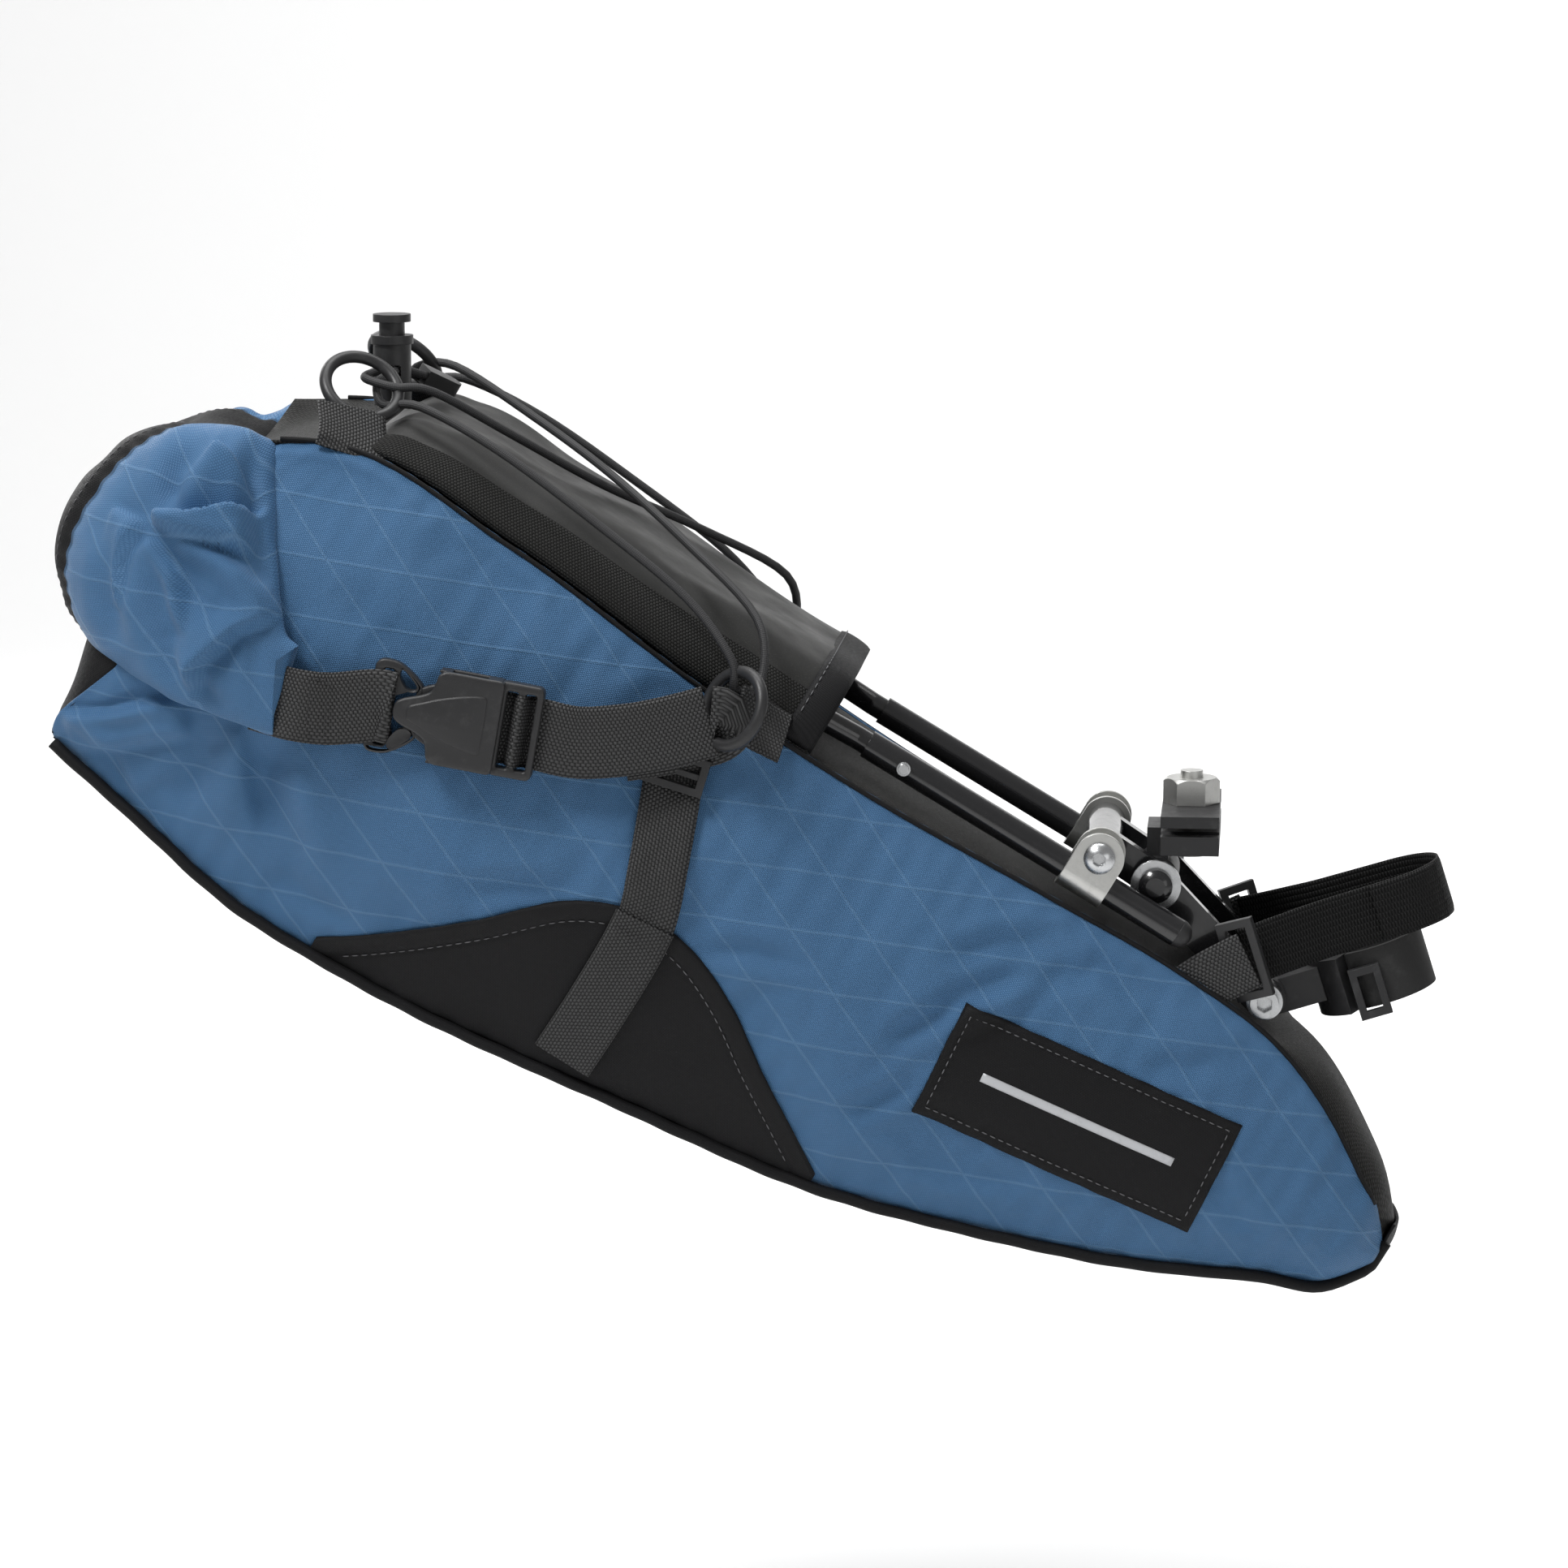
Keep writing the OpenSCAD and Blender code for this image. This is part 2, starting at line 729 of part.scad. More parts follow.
// A flat strap w wide and t thick through points [x, y, z] whose y is the inner face
function strap_grid(path, w, lift) = [
  for (i = [0:len(path) - 1])
    let (
      a = path[max(0, i - 1)],
      b = path[min(len(path) - 1, i + 1)],
      run = [b[0] - a[0], b[2] - a[2]],
      n = [run[1], -run[0]] / norm(run) * w / 2
    )
    [for (k = [-1, 1]) [path[i][0] + k * n[0], path[i][1] + lift, path[i][2] + k * n[1]]]
];

module strap(path, w) {
  grid_solid(strap_grid(path, w, webbing_t), strap_grid(path, w, 0));
}

// Buckle frame: x forward along the strap, y across it, z away from the bag
buckle_x = 315;
buckle_y = 88;
buckle_z = -77;
buckle_turn = 21;
buckle_half_w = 16;
release_travel = 24;

module at_buckle() {
  translate([buckle_x, buckle_y, buckle_z]) rotate([0, 0, 180]) rotate([90, 0, 0]) rotate([0, 0, buckle_turn])
    children();
}

function buckle_point(a) = [buckle_x - a * cos(buckle_turn), buckle_z + a * sin(buckle_turn)];

TAB_PATH = [
  [378, 94.2, -106], [366, 94.2, -101], [354, 92, -95],
  [buckle_point(-23)[0], 87.2, buckle_point(-23)[1]]
];

module closure_tabs() {
  color(webbing_black) rack_frame() both_sides() strap(TAB_PATH, webbing_w - 0.6);
}

prong_root = [-11.5, 6.5];

module buckle_male() {
  color(plastic_black) at_buckle() {
    difference() {
      translate([-28.5, -buckle_half_w, -2.2]) cube([11.5, 2 * buckle_half_w, 4.4]);
      translate([-25.5, -13, -3]) cube([4.5, 26, 6]);
    }
    translate([-17.5, -10, -2]) cube([3.3, 20, 4]);
    translate([-15, -1.6, -1.6]) cube([26, 3.2, 3.2]);
  }
}

module buckle_male_right() {
  rack_frame() buckle_male();
}

module buckle_male_left() {
  rack_frame() mirror([0, 1, 0]) buckle_male();
}

// Upper spring prong: its arm reaches into the female half and its head fills the side window
module prong() {
  color(plastic_black) at_buckle() translate([0, 0, -1.9]) linear_extrude(3.8) {
    translate(prong_root) circle(2.2);
    polygon([
      [-12.4, 4.6], [-5, 8.6], [7.8, 9.6], [7.8, 13], [1, 14.8], [-1, 14.8], [-1.4, 12], [-6, 11.4],
      [-12.6, 8.4]
    ]);
  }
}

module prong_upper_right() {
  rack_frame() prong();
}

// The lower prong is the upper one turned over about the strap's line
module at_buckle_flip() {
  translate([buckle_x, buckle_y, buckle_z])
    rotate([0, buckle_turn, 0]) mirror([0, 0, 1]) rotate([0, -buckle_turn, 0])
      translate([-buckle_x, -buckle_y, -buckle_z]) children();
}

module prong_lower_right() {
  rack_frame() at_buckle_flip() prong();
}

module prong_upper_left() {
  rack_frame() mirror([0, 1, 0]) prong();
}

module prong_lower_left() {
  rack_frame() mirror([0, 1, 0]) at_buckle_flip() prong();
}

module buckle_female() {
  color(plastic_black) at_buckle() difference() {
    union() {
      translate([0, 0, 2.5]) linear_extrude(2.2)
        polygon([
          [-20, -2.5], [-20, 2.5], [-17, 5.5], [-9, 8.5], [-7, 13], [-7, 16], [15, 16],
          [15, -16], [-7, -16], [-7, -13], [-9, -8.5], [-17, -5.5]
        ]);
      translate([-7, -16, -4.7]) cube([22, 32, 2.2]);
      for (side = [-1, 1]) {
        translate([-7, side * 15.5 - 0.5, -3]) cube([4.5, 1, 6]);
        translate([9.2, side * 15.5 - 0.5, -3]) cube([5.8, 1, 6]);
      }
      translate([12.6, -16, -3]) cube([2.4, 32, 6]);
      translate([14, -buckle_half_w, -2.6]) cube([14.8, 2 * buckle_half_w, 5.2]);
    }
    translate([17, -13, -4]) cube([3.4, 26, 8]);
    translate([23, -13, -4]) cube([3.4, 26, 8]);
  }
}

module buckle_female_right() {
  rack_frame() buckle_female();
}

module buckle_female_left() {
  rack_frame() mirror([0, 1, 0]) buckle_female();
}

STRAP_PATH = [
  [buckle_point(29.4)[0], 87.2, buckle_point(29.4)[1]],
  [274, 85.5, -61], [260, 82, -52], [249, 78, -42], [241, 74.5, -33]
];

module closure_strap() {
  color(webbing_black) strap(STRAP_PATH, webbing_w - 0.6);
}

module closure_strap_right() {
  rack_frame() closure_strap();
}

module closure_strap_left() {
  rack_frame() mirror([0, 1, 0]) closure_strap();
}

// Round rings of drawn plastic
ring_major = 12.8;
ring_minor = 2.1;
front_ring = [237, 75.5, -27];
rear_ring = [401, 48, -4];

module round_ring() {
  rotate_extrude() translate([ring_major, 0]) circle(ring_minor);
}

module front_rings() {
  color(plastic_black) rack_frame() both_sides()
    translate(front_ring) rotate([0, 0, 45]) rotate([0, 90, 0]) round_ring();
}

module rear_rings() {
  color(plastic_black) rack_frame() both_sides() translate(rear_ring) rotate([-39, 0, 0]) round_ring();
}

FRONT_TAB = [[212, 62, -30], [220, 63.5, -30], [228, 66, -29]];
REAR_TAB = [[384, 72.5, -27], [390, 70, -20], [395, 63, -13]];

module ring_tabs() {
  color(webbing_black) rack_frame() both_sides() {
    strap(FRONT_TAB, 20);
    strap(REAR_TAB, webbing_w);
  }
}

function on_side(x, z, lift) = [x, side_y(x, z) + lift, z];
COMPRESSION_PATH = [
  on_side(244, -60, 1.2), on_side(241, -72, 0.8), on_side(236, -90, 0.8), on_side(232, -104, 1.8),
  on_side(229, -122, 2), on_side(226, -142, 2), on_side(223, -160, 2)
];

module compression_straps() {
  color(webbing_black) rack_frame() both_sides() strap(COMPRESSION_PATH, webbing_w - 5);
}

module ladder_lock() {
  translate([246, side_y(246, -56) + 4.5, -56]) rotate([0, 0, 180]) rotate([90, 0, 0]) rotate([0, 0, 14]) {
    rectangle_ring(28, 13, 2.6, 3);
    cube([26, 2, 2.6], center = true);
  }
}

module ladder_locks() {
  color(plastic_black) rack_frame() both_sides() ladder_lock();
}

// ---------- Elastic cord and its lock ----------

lock_at = [398, 14, 1];
lock_half = 12;
lock_r = 6.5;
plunger_r = 4.4;
lock_travel = 4;
strand_gap = 1.7;

// Hand-set route in the rack frame: out of the lock, round the four rings and back
BUNGEE_POINTS = [
  [388, 0, 3], [394, 4, 2], [396.5, 8, 1.9], [396.5, 20, 1.9], [397, 30, 1], [398, 38, -2], [392, 44, -6],
  [380, 50, 1], [350, 56, 3], [310, 60, 0], [270, 65, -5], [246, 71, -14],
  [240, 71, -22], [234, 66, -16], [246, 56, 0], [280, 34, 6], [316, 4, 8], [350, -22, 7], [384, -40, 5],
  [396, -44, -3], [392, -50, -7],
  [380, -52, 1], [350, -58, 3], [310, -62, 0], [270, -66, -5], [246, -71, -14],
  [240, -71, -22], [234, -66, -16], [246, -52, 1], [280, -28, 3], [316, 2, 3], [350, 24, 5], [380, 40, 6],
  [392, 44, 1], [402, 41, -2], [402, 30, -1], [400, 20, 0.2], [400, 8, 0.2], [396, 2, 0.5], [390, -4, 1]
];
cord_cuts = 2;

function smooth(p, i, f) =
  let (
    n = len(p) - 1,
    a = p[max(0, i - 1)],
    b = p[i],
    c = p[min(n, i + 1)],
    d = p[min(n, i + 2)]
  )
  0.5 * (2 * b + (c - a) * f + (2 * a - 5 * b + 4 * c - d) * f * f + (3 * b - a - 3 * c + d) * f * f * f);

function smooth_path(p, cuts) = concat(
  [for (i = [0:len(p) - 2], k = [0:cuts - 1]) smooth(p, i, k / cuts)],
  [p[len(p) - 1]]
);

module bungee_cord() {
  color(webbing_black) rack_frame() tube_along(smooth_path(BUNGEE_POINTS, cord_cuts), bungee_d / 2);
}

module at_lock() {
  translate(lock_at) rotate([0, rack_angle, 0]) children();
}

// The slot that the cord's two strands pass through, raised by the plunger's travel where asked
module strand_slot(rise) {
  translate([-strand_gap - 2, -20, -1.9]) cube([2 * strand_gap + 4, 40, 3.8 + rise]);
}

module cord_lock() {
  color(plastic_black) rack_frame() at_lock() difference() {
    union() {
      translate([0, 0, -lock_half]) cylinder(r = lock_r, h = 2 * lock_half);
      translate([0, 0, lock_half - 3]) cylinder(r = lock_r + 0.8, h = 3);
    }
    translate([0, 0, -lock_half + 1.5]) cylinder(r = plunger_r + 0.1, h = 2 * lock_half);
    strand_slot(0);
  }
}

module cord_lock_plunger() {
  color(plastic_black) rack_frame() at_lock() difference() {
    union() {
      translate([0, 0, -lock_half + 6]) cylinder(r = plunger_r, h = 2 * lock_half - 1);
      translate([0, 0, lock_half + lock_travel + 0.6]) cylinder(r = lock_r, h = 2.6);
    }
    strand_slot(lock_travel + 0.2);
  }
}

module cord_end_clip() {
  color(plastic_black) rack_frame() translate([385, -5, 2.5]) rotate([0, 0, 35]) {
    cube([11, 8, 6], center = true);
    translate([-5.5, 0, 0]) cylinder(r = 4, h = 6, center = true);
  }
}

// ---------- Strap round the seatpost head ----------

post_strap_z = 21.5;
post_strap_w = 20;
post_strap_y = 18;
post_strap_front = 30;

// Outline of the loop in the post's frame, as a flat band between two offsets
function loop_outline(out) = concat(
  [[-41, -30 - out], [-30, -25.5 - out], [-14, -20.5 - out]],
  [
    for (a = [-90:15:90]) let (r = post_strap_y + out)
      [post_strap_front - post_strap_y + r * cos(a), r * sin(a)]
  ],
  [[-14, 20.5 + out], [-30, 25.5 + out], [-41, 30 + out]]
);

function reversed(p) = [for (i = [len(p) - 1:-1:0]) p[i]];

module post_strap() {
  color(webbing_black) post_frame()
    translate([0, 0, post_strap_z - post_strap_w / 2]) linear_extrude(post_strap_w) {
      polygon(concat(loop_outline(0), reversed(loop_outline(webbing_t))));
      for (side = [-1, 1]) {
        polygon([
          [-42, side * 35.4], [-60, side * 38],
          [-60, side * (38 + webbing_t)], [-42, side * (35.4 + webbing_t)]
        ]);
      }
    }
}

module post_strap_rings() {
  color(plastic_black) post_frame() both_sides()
    translate([-41, 34, post_strap_z]) rotate([0, 0, 15]) rotate([90, 0, 0])
      rectangle_ring(13, 28, 2.8, 3);
}

rack_loop();
rack_leg_right();
rack_leg_left();
leg_end_caps();
snap_button_right();
snap_button_left();
tube_clips();
clip_spacers();
clip_bolts();
cross_bar();
pivot_bolt();
pivot_washers();
lock_nuts();
brace_arms();
front_bolt();
seatpost_cradle();
cradle_pad();
post_collar();
collar_ring();
rail_clamp_base();
rail_clamp_jaw();
clamp_stud();
clamp_nut();
side_panel_right();
side_panel_left();
top_panel();
bottom_panel();
front_panel();
rear_panel();
roll_top();
closure_stiffener();
base_stiffener();
lower_panel_right();
lower_panel_left();
edge_binding();
rack_sleeve();
sleeve_binding();
label_patch();
closure_tabs();
buckle_male_right();
buckle_male_left();
prong_upper_right();
prong_lower_right();
prong_upper_left();
prong_lower_left();
buckle_female_right();
buckle_female_left();
closure_strap_right();
closure_strap_left();
front_rings();
rear_rings();
ring_tabs();
compression_straps();
ladder_locks();
bungee_cord();
cord_lock();
cord_lock_plunger();
cord_end_clip();
post_strap();
post_strap_rings();
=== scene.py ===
"""Looks of a roll-top saddle bag on its hanger rack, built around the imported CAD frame.

Sizes are in millimetres in the rack frame (x up and back along the tubes, y to the bicycle's right,
z square to the tubes) and are turned into metres in the row frame by row().
"""
import math

import bpy
import numpy as np
from mathutils import Matrix, Vector
from mathutils.bvhtree import BVHTree


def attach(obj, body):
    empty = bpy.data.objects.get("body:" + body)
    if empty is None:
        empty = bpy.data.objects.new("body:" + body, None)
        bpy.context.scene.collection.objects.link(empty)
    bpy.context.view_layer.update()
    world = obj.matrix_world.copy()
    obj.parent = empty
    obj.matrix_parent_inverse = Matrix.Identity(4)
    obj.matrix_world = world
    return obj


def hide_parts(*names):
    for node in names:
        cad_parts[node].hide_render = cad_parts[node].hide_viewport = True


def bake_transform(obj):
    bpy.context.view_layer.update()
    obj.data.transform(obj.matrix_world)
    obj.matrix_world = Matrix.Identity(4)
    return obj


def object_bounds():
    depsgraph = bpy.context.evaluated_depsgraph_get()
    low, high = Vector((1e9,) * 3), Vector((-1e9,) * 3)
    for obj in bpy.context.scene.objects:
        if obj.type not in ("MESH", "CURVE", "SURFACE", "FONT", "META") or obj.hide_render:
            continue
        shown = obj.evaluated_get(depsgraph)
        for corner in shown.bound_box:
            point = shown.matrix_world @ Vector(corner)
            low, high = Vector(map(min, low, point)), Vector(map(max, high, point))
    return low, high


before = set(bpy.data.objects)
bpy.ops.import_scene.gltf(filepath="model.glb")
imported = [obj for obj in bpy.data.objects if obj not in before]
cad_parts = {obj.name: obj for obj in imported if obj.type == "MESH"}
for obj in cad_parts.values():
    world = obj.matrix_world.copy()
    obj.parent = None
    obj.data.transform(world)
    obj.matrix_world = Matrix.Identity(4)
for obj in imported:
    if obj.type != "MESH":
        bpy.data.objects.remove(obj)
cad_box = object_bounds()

MM = 0.001
SLOPE = math.radians(31)   # how steeply the rack's tubes rise to the rear
LEAN = math.radians(17.5)  # how far the seatpost leans back

# ---------------------------------------------------------------- outlines, as the CAD has them
TOP_SEAM = [(-52, -80), (-44, -70), (-30, -60), (-10, -47), (15, -36), (60, -30), (110, -30),
            (180, -31), (250, -28), (330, -20), (400, -22), (432, -40)]
TOP_CROWN = [(-52, -72), (-44, -63), (-30, -52), (-10, -40), (10, -35), (30, -38), (60, -34),
             (100, -31), (215, -30), (330, -28), (400, -24), (432, -40)]
BOTTOM_EDGE = [(-52, -90), (-44, -99), (-20, -109), (20, -127), (70, -144), (120, -158), (200, -168),
               (300, -177), (350, -176), (390, -168), (432, -160)]
HALF_WIDTH = [(-52, 18), (-44, 25), (-20, 34), (20, 42), (100, 54), (200, 68), (300, 77), (400, 81),
              (432, 80)]
LOWER_PANEL_TOP = [(130, -156), (145, -145), (165, -131), (185, -116), (205, -106), (222, -103),
                   (236, -105), (252, -113), (275, -136), (300, -158), (318, -172)]
SLEEVE_CREST = [(208, -2), (330, 0), (370, -1), (384, -7), (392, -19)]
BAG_FRONT, BAG_REAR = -52, 432
LABEL = dict(x=64, z=-91, length=104, height=43, turn=math.radians(5.5))
TOP_SHARE, BOTTOM_SHARE, BULGE_SHARE = 0.88, 0.80, 0.20


def curve(table, x):
    """A smooth curve through a table of (distance, value) pairs."""
    t = np.array(table, float)
    k, v = t[:, 0], t[:, 1]
    slope = np.gradient(v, k)
    x = np.clip(np.asarray(x, float), k[0], k[-1])
    i = np.clip(np.searchsorted(k, x, side="right") - 1, 0, len(k) - 2)
    w = k[i + 1] - k[i]
    f = (x - k[i]) / w
    a, b = v[i], v[i + 1]
    return (a * (2 * f**3 - 3 * f**2 + 1) + b * (3 * f**2 - 2 * f**3)
            + w * (slope[i] * (f**3 - 2 * f**2 + f) + slope[i + 1] * (f**3 - f**2)))


def seam_z(x):
    return curve(TOP_SEAM, x)


def edge_z(x):
    return curve(BOTTOM_EDGE, x)


def seam_y(x):
    return curve(HALF_WIDTH, x) * TOP_SHARE


def edge_y(x):
    return curve(HALF_WIDTH, x) * BOTTOM_SHARE


def side_y(x, z):
    """The side panel's plain surface, before folds."""
    f = np.clip((seam_z(x) - z) / (seam_z(x) - edge_z(x)), 0, 1)
    return seam_y(x) + (edge_y(x) - seam_y(x)) * f + curve(HALF_WIDTH, x) * BULGE_SHARE * np.sin(np.pi * f)


def row(points):
    """Rack frame, millimetres, to row frame, metres."""
    p = np.asarray(points, float)
    x, y, z = p[..., 0], p[..., 1], p[..., 2]
    c, s = math.cos(SLOPE), math.sin(SLOPE)
    return MM * np.stack([z * s - x * c, -y, x * s + z * c], axis=-1)


def rack(points):
    """Row frame, metres, to rack frame, millimetres."""
    p = np.asarray(points, float) / MM
    x, y, z = p[..., 0], p[..., 1], p[..., 2]
    c, s = math.cos(SLOPE), math.sin(SLOPE)
    return np.stack([z * s - x * c, -y, x * s + z * c], axis=-1)


def post(points):
    """Post frame (z up the seatpost), millimetres, to row frame, metres."""
    p = np.asarray(points, float)
    x, y, z = p[..., 0], p[..., 1], p[..., 2]
    c, s = math.cos(LEAN), math.sin(LEAN)
    return MM * np.stack([x * c - z * s, y, x * s + z * c], axis=-1)


def unit(v):
    v = np.asarray(v, float)
    return v / np.maximum(np.linalg.norm(v, axis=-1, keepdims=True), 1e-12)


def lengths_along(p):
    """The distance travelled along a path at each of its points."""
    return np.concatenate([[0], np.cumsum(np.linalg.norm(np.diff(p, axis=0), axis=1))])


def smooth_path(points, cuts):
    """A Catmull-Rom line through points, with that many steps between two of them."""
    p = np.array(points, float)
    p = np.vstack([p[0], p, p[-1]])
    out = []
    for i in range(1, len(p) - 2):
        a, b, c, d = p[i - 1:i + 3]
        for f in np.arange(cuts) / cuts:
            out.append(0.5 * (2 * b + (c - a) * f + (2 * a - 5 * b + 4 * c - d) * f**2
                              + (3 * b - a - 3 * c + d) * f**3))
    out.append(p[-2])
    return np.array(out)


# ---------------------------------------------------------------- mesh helpers
def mesh_object(name, verts, faces, uv=None, material=None):
    mesh = bpy.data.meshes.new(name)
    mesh.from_pydata(np.asarray(verts, float).reshape(-1, 3).tolist(), [], faces)
    if uv is not None:
        layer = mesh.uv_layers.new(name="UVMap")
        layer.data.foreach_set("uv", np.asarray(uv, np.float32).reshape(-1))
    mesh.shade_smooth()
    obj = bpy.data.objects.new(name, mesh)
    bpy.context.scene.collection.objects.link(obj)
    if material is not None:
        mesh.materials.append(material)
    return obj


def grid(name, points, uv, material, closed=False, flip=False, caps=False):
    """A sheet through a grid of points (rows, columns, 3) in metres, with a UV in metres at each point.
    closed joins the last column to the first, and uv then has one more column."""
    rows, cols = points.shape[:2]
    faces, corners = [], []
    for i in range(rows - 1):
        for j in range(cols if closed else cols - 1):
            k = (j + 1) % cols
            quad = [(i, j), (i, k), (i + 1, k), (i + 1, j)]
            at = [(i, j), (i, j + 1), (i + 1, j + 1), (i + 1, j)]
            if flip:
                quad, at = quad[::-1], at[::-1]
            faces.append([a * cols + b for a, b in quad])
            corners += [uv[a][b] for a, b in at]
    if caps:
        ends = [list(range(cols))[::-1], [(rows - 1) * cols + j for j in range(cols)]]
        for end, i in zip(ends, (0, rows - 1)):
            end = end[::-1] if flip else end
            faces.append(end)
            corners += [uv[i][v % cols] for v in end]
    made = mesh_object(name, points, faces, corners, material)
    return face_out(made, True) if closed else made


def face_out(obj, closed):
    """Turns the faces outward: of a closed mesh by its volume, of a sheet away from the bag's middle."""
    mesh = obj.data
    count = len(mesh.polygons)
    normals, centres, areas = np.zeros(count * 3), np.zeros(count * 3), np.zeros(count)
    mesh.polygons.foreach_get("normal", normals)
    mesh.polygons.foreach_get("center", centres)
    mesh.polygons.foreach_get("area", areas)
    normals, centres = normals.reshape(-1, 3), centres.reshape(-1, 3)
    if closed:
        away = centres - centres.mean(0)
    else:
        spot = rack(centres)
        inside_x = np.clip(spot[:, 0], -20, 395)
        inside = np.stack([inside_x, 0 * inside_x, (seam_z(inside_x) + edge_z(inside_x)) / 2], -1)
        away = centres - row(inside)
    if np.sum(np.sum(normals * away, 1) * areas) < 0:
        mesh.flip_normals()
    return obj


def apply_modifiers(obj):
    graph = bpy.context.evaluated_depsgraph_get()
    mesh = bpy.data.meshes.new_from_object(obj.evaluated_get(graph))
    obj.modifiers.clear()
    obj.data = mesh
    mesh.shade_smooth()
    return obj


def thicken(obj, thickness, outward=0.0):
    """Gives a sheet a thickness in millimetres. outward is the share that lies outside."""
    face_out(obj, False)
    solid = obj.modifiers.new("thickness", "SOLIDIFY")
    solid.thickness = thickness * MM
    solid.offset = 2 * outward - 1
    solid.use_even_offset = False
    return apply_modifiers(obj)


def subdivide(obj, levels=1):
    sub = obj.modifiers.new("subdivision", "SUBSURF")
    sub.levels = sub.render_levels = levels
    return apply_modifiers(obj)


def join(name, objects):
    """Joins meshes into the first one and names it."""
    bpy.ops.object.select_all(action="DESELECT")
    for o in objects:
        o.select_set(True)
    bpy.context.view_layer.objects.active = objects[0]
    bpy.ops.object.join()
    objects[0].name = objects[0].data.name = name
    return objects[0]


def tube(name, path, radius, material, sides=12, caps=True):
    """A round tube along a path in metres. radius is in millimetres, one or one for each point."""
    p = np.asarray(path, float)
    r = np.broadcast_to(np.asarray(radius, float) * MM, (len(p),))
    t = unit(np.gradient(p, axis=0))
    u = unit(np.cross(t[0], [0.12, 0.08, 1.0]))
    around = 2 * np.pi * np.arange(sides) / sides
    along = lengths_along(p)
    rings = []
    for i in range(len(p)):
        u = unit(u - t[i] * (u @ t[i]))
        v = np.cross(t[i], u)
        rings.append(p[i] + r[i] * (np.cos(around)[:, None] * u + np.sin(around)[:, None] * v))
    turn = np.arange(sides + 1) / sides * 2 * np.pi
    uv = [[(along[i], r[i] * a) for a in turn] for i in range(len(p))]
    return grid(name, np.array(rings), uv, material, closed=True, caps=caps)


def ribbon(name, centres, across, width, thick, material, edge=0.55, steps=14):
    """Webbing along centres, in metres. across is the direction of its width at each point,
    width and thick are millimetres, and its outside is cross(run, across)."""
    p = np.asarray(centres, float)
    run = unit(np.gradient(p, axis=0))
    a = np.broadcast_to(unit(across), p.shape)
    a = unit(a - run * np.sum(a * run, axis=1, keepdims=True))
    out = np.cross(run, a)
    w = np.linspace(-1, 1, steps)
    lift = thick / 2 * MM * (1 - edge * np.abs(w)**10)
    side = np.concatenate([w, w[::-1]]) * width / 2 * MM
    rise = np.concatenate([lift, -lift[::-1]])
    pts = p[:, None, :] + side[None, :, None] * a[:, None, :] + rise[None, :, None] * out[:, None, :]
    along = lengths_along(p)
    v = np.concatenate([side, side[:1]])
    uv = [[(u, b) for b in v] for u in along]
    return grid(name, pts, uv, material, closed=True, caps=True)


def plate(name, outline, holes, low, high, place, material, bevel=0.5, smooth=True):
    """A moulded plate: an outline with holes, [a, b] in millimetres, from low to high, with round edges.
    place turns (a, b, c) in millimetres into metres in the row frame."""
    data = bpy.data.curves.new(name, "CURVE")
    data.dimensions = "2D"
    data.fill_mode = "BOTH"
    half = (high - low) / 2
    bevel = min(bevel, half * 0.9)
    data.extrude = half - bevel
    data.bevel_depth = bevel
    data.bevel_resolution = 2
    data.offset = -bevel
    data.resolution_u = 6
    for ring in [outline, *holes]:
        line = data.splines.new("BEZIER" if smooth else "POLY")
        line.use_cyclic_u = True
        if smooth:
            line.bezier_points.add(len(ring) - 1)
            n = len(ring)
            pts = np.array(ring, float)
            for i, point in enumerate(line.bezier_points):
                tangent = (pts[(i + 1) % n] - pts[i - 1]) / 2
                point.co = (*pts[i], 0)
                before = np.linalg.norm(pts[i] - pts[i - 1])
                after = np.linalg.norm(pts[(i + 1) % n] - pts[i])
                d = tangent / max(np.linalg.norm(tangent), 1e-9)
                point.handle_left = (*(pts[i] - d * before * 0.28), 0)
                point.handle_right = (*(pts[i] + d * after * 0.28), 0)
        else:
            line.points.add(len(ring) - 1)
            for point, at in zip(line.points, ring):
                point.co = (*at, 0, 1)
    obj = bpy.data.objects.new(name, data)
    bpy.context.scene.collection.objects.link(obj)
    graph = bpy.context.evaluated_depsgraph_get()
    mesh = bpy.data.meshes.new_from_object(obj.evaluated_get(graph))
    bpy.data.objects.remove(obj)
    co = np.zeros(len(mesh.vertices) * 3)
    mesh.vertices.foreach_get("co", co)
    co = co.reshape(-1, 3) + [0, 0, (low + high) / 2]
    mesh.vertices.foreach_set("co", place(co).reshape(-1))
    mesh.materials.clear()
    mesh.materials.append(material)
    made = bpy.data.objects.new(name, mesh)
    bpy.context.scene.collection.objects.link(made)
    weld = made.modifiers.new("weld", "WELD")
    weld.merge_threshold = 1e-5
    apply_modifiers(made)
    face_out(made, True)
    made.data.set_sharp_from_angle(angle=math.radians(40))
    return made


def rounded(a0, b0, a1, b1, r, n=4):
    """A rectangle with round corners, as a list of points."""
    pts = []
    corners = ((a1 - r, b1 - r, 0), (a0 + r, b1 - r, 90), (a0 + r, b0 + r, 180), (a1 - r, b0 + r, 270))
    for ca, cb, start in corners:
        for k in range(n + 1):
            t = math.radians(start + 90 * k / n)
            pts.append((ca + r * math.cos(t), cb + r * math.sin(t)))
    return pts


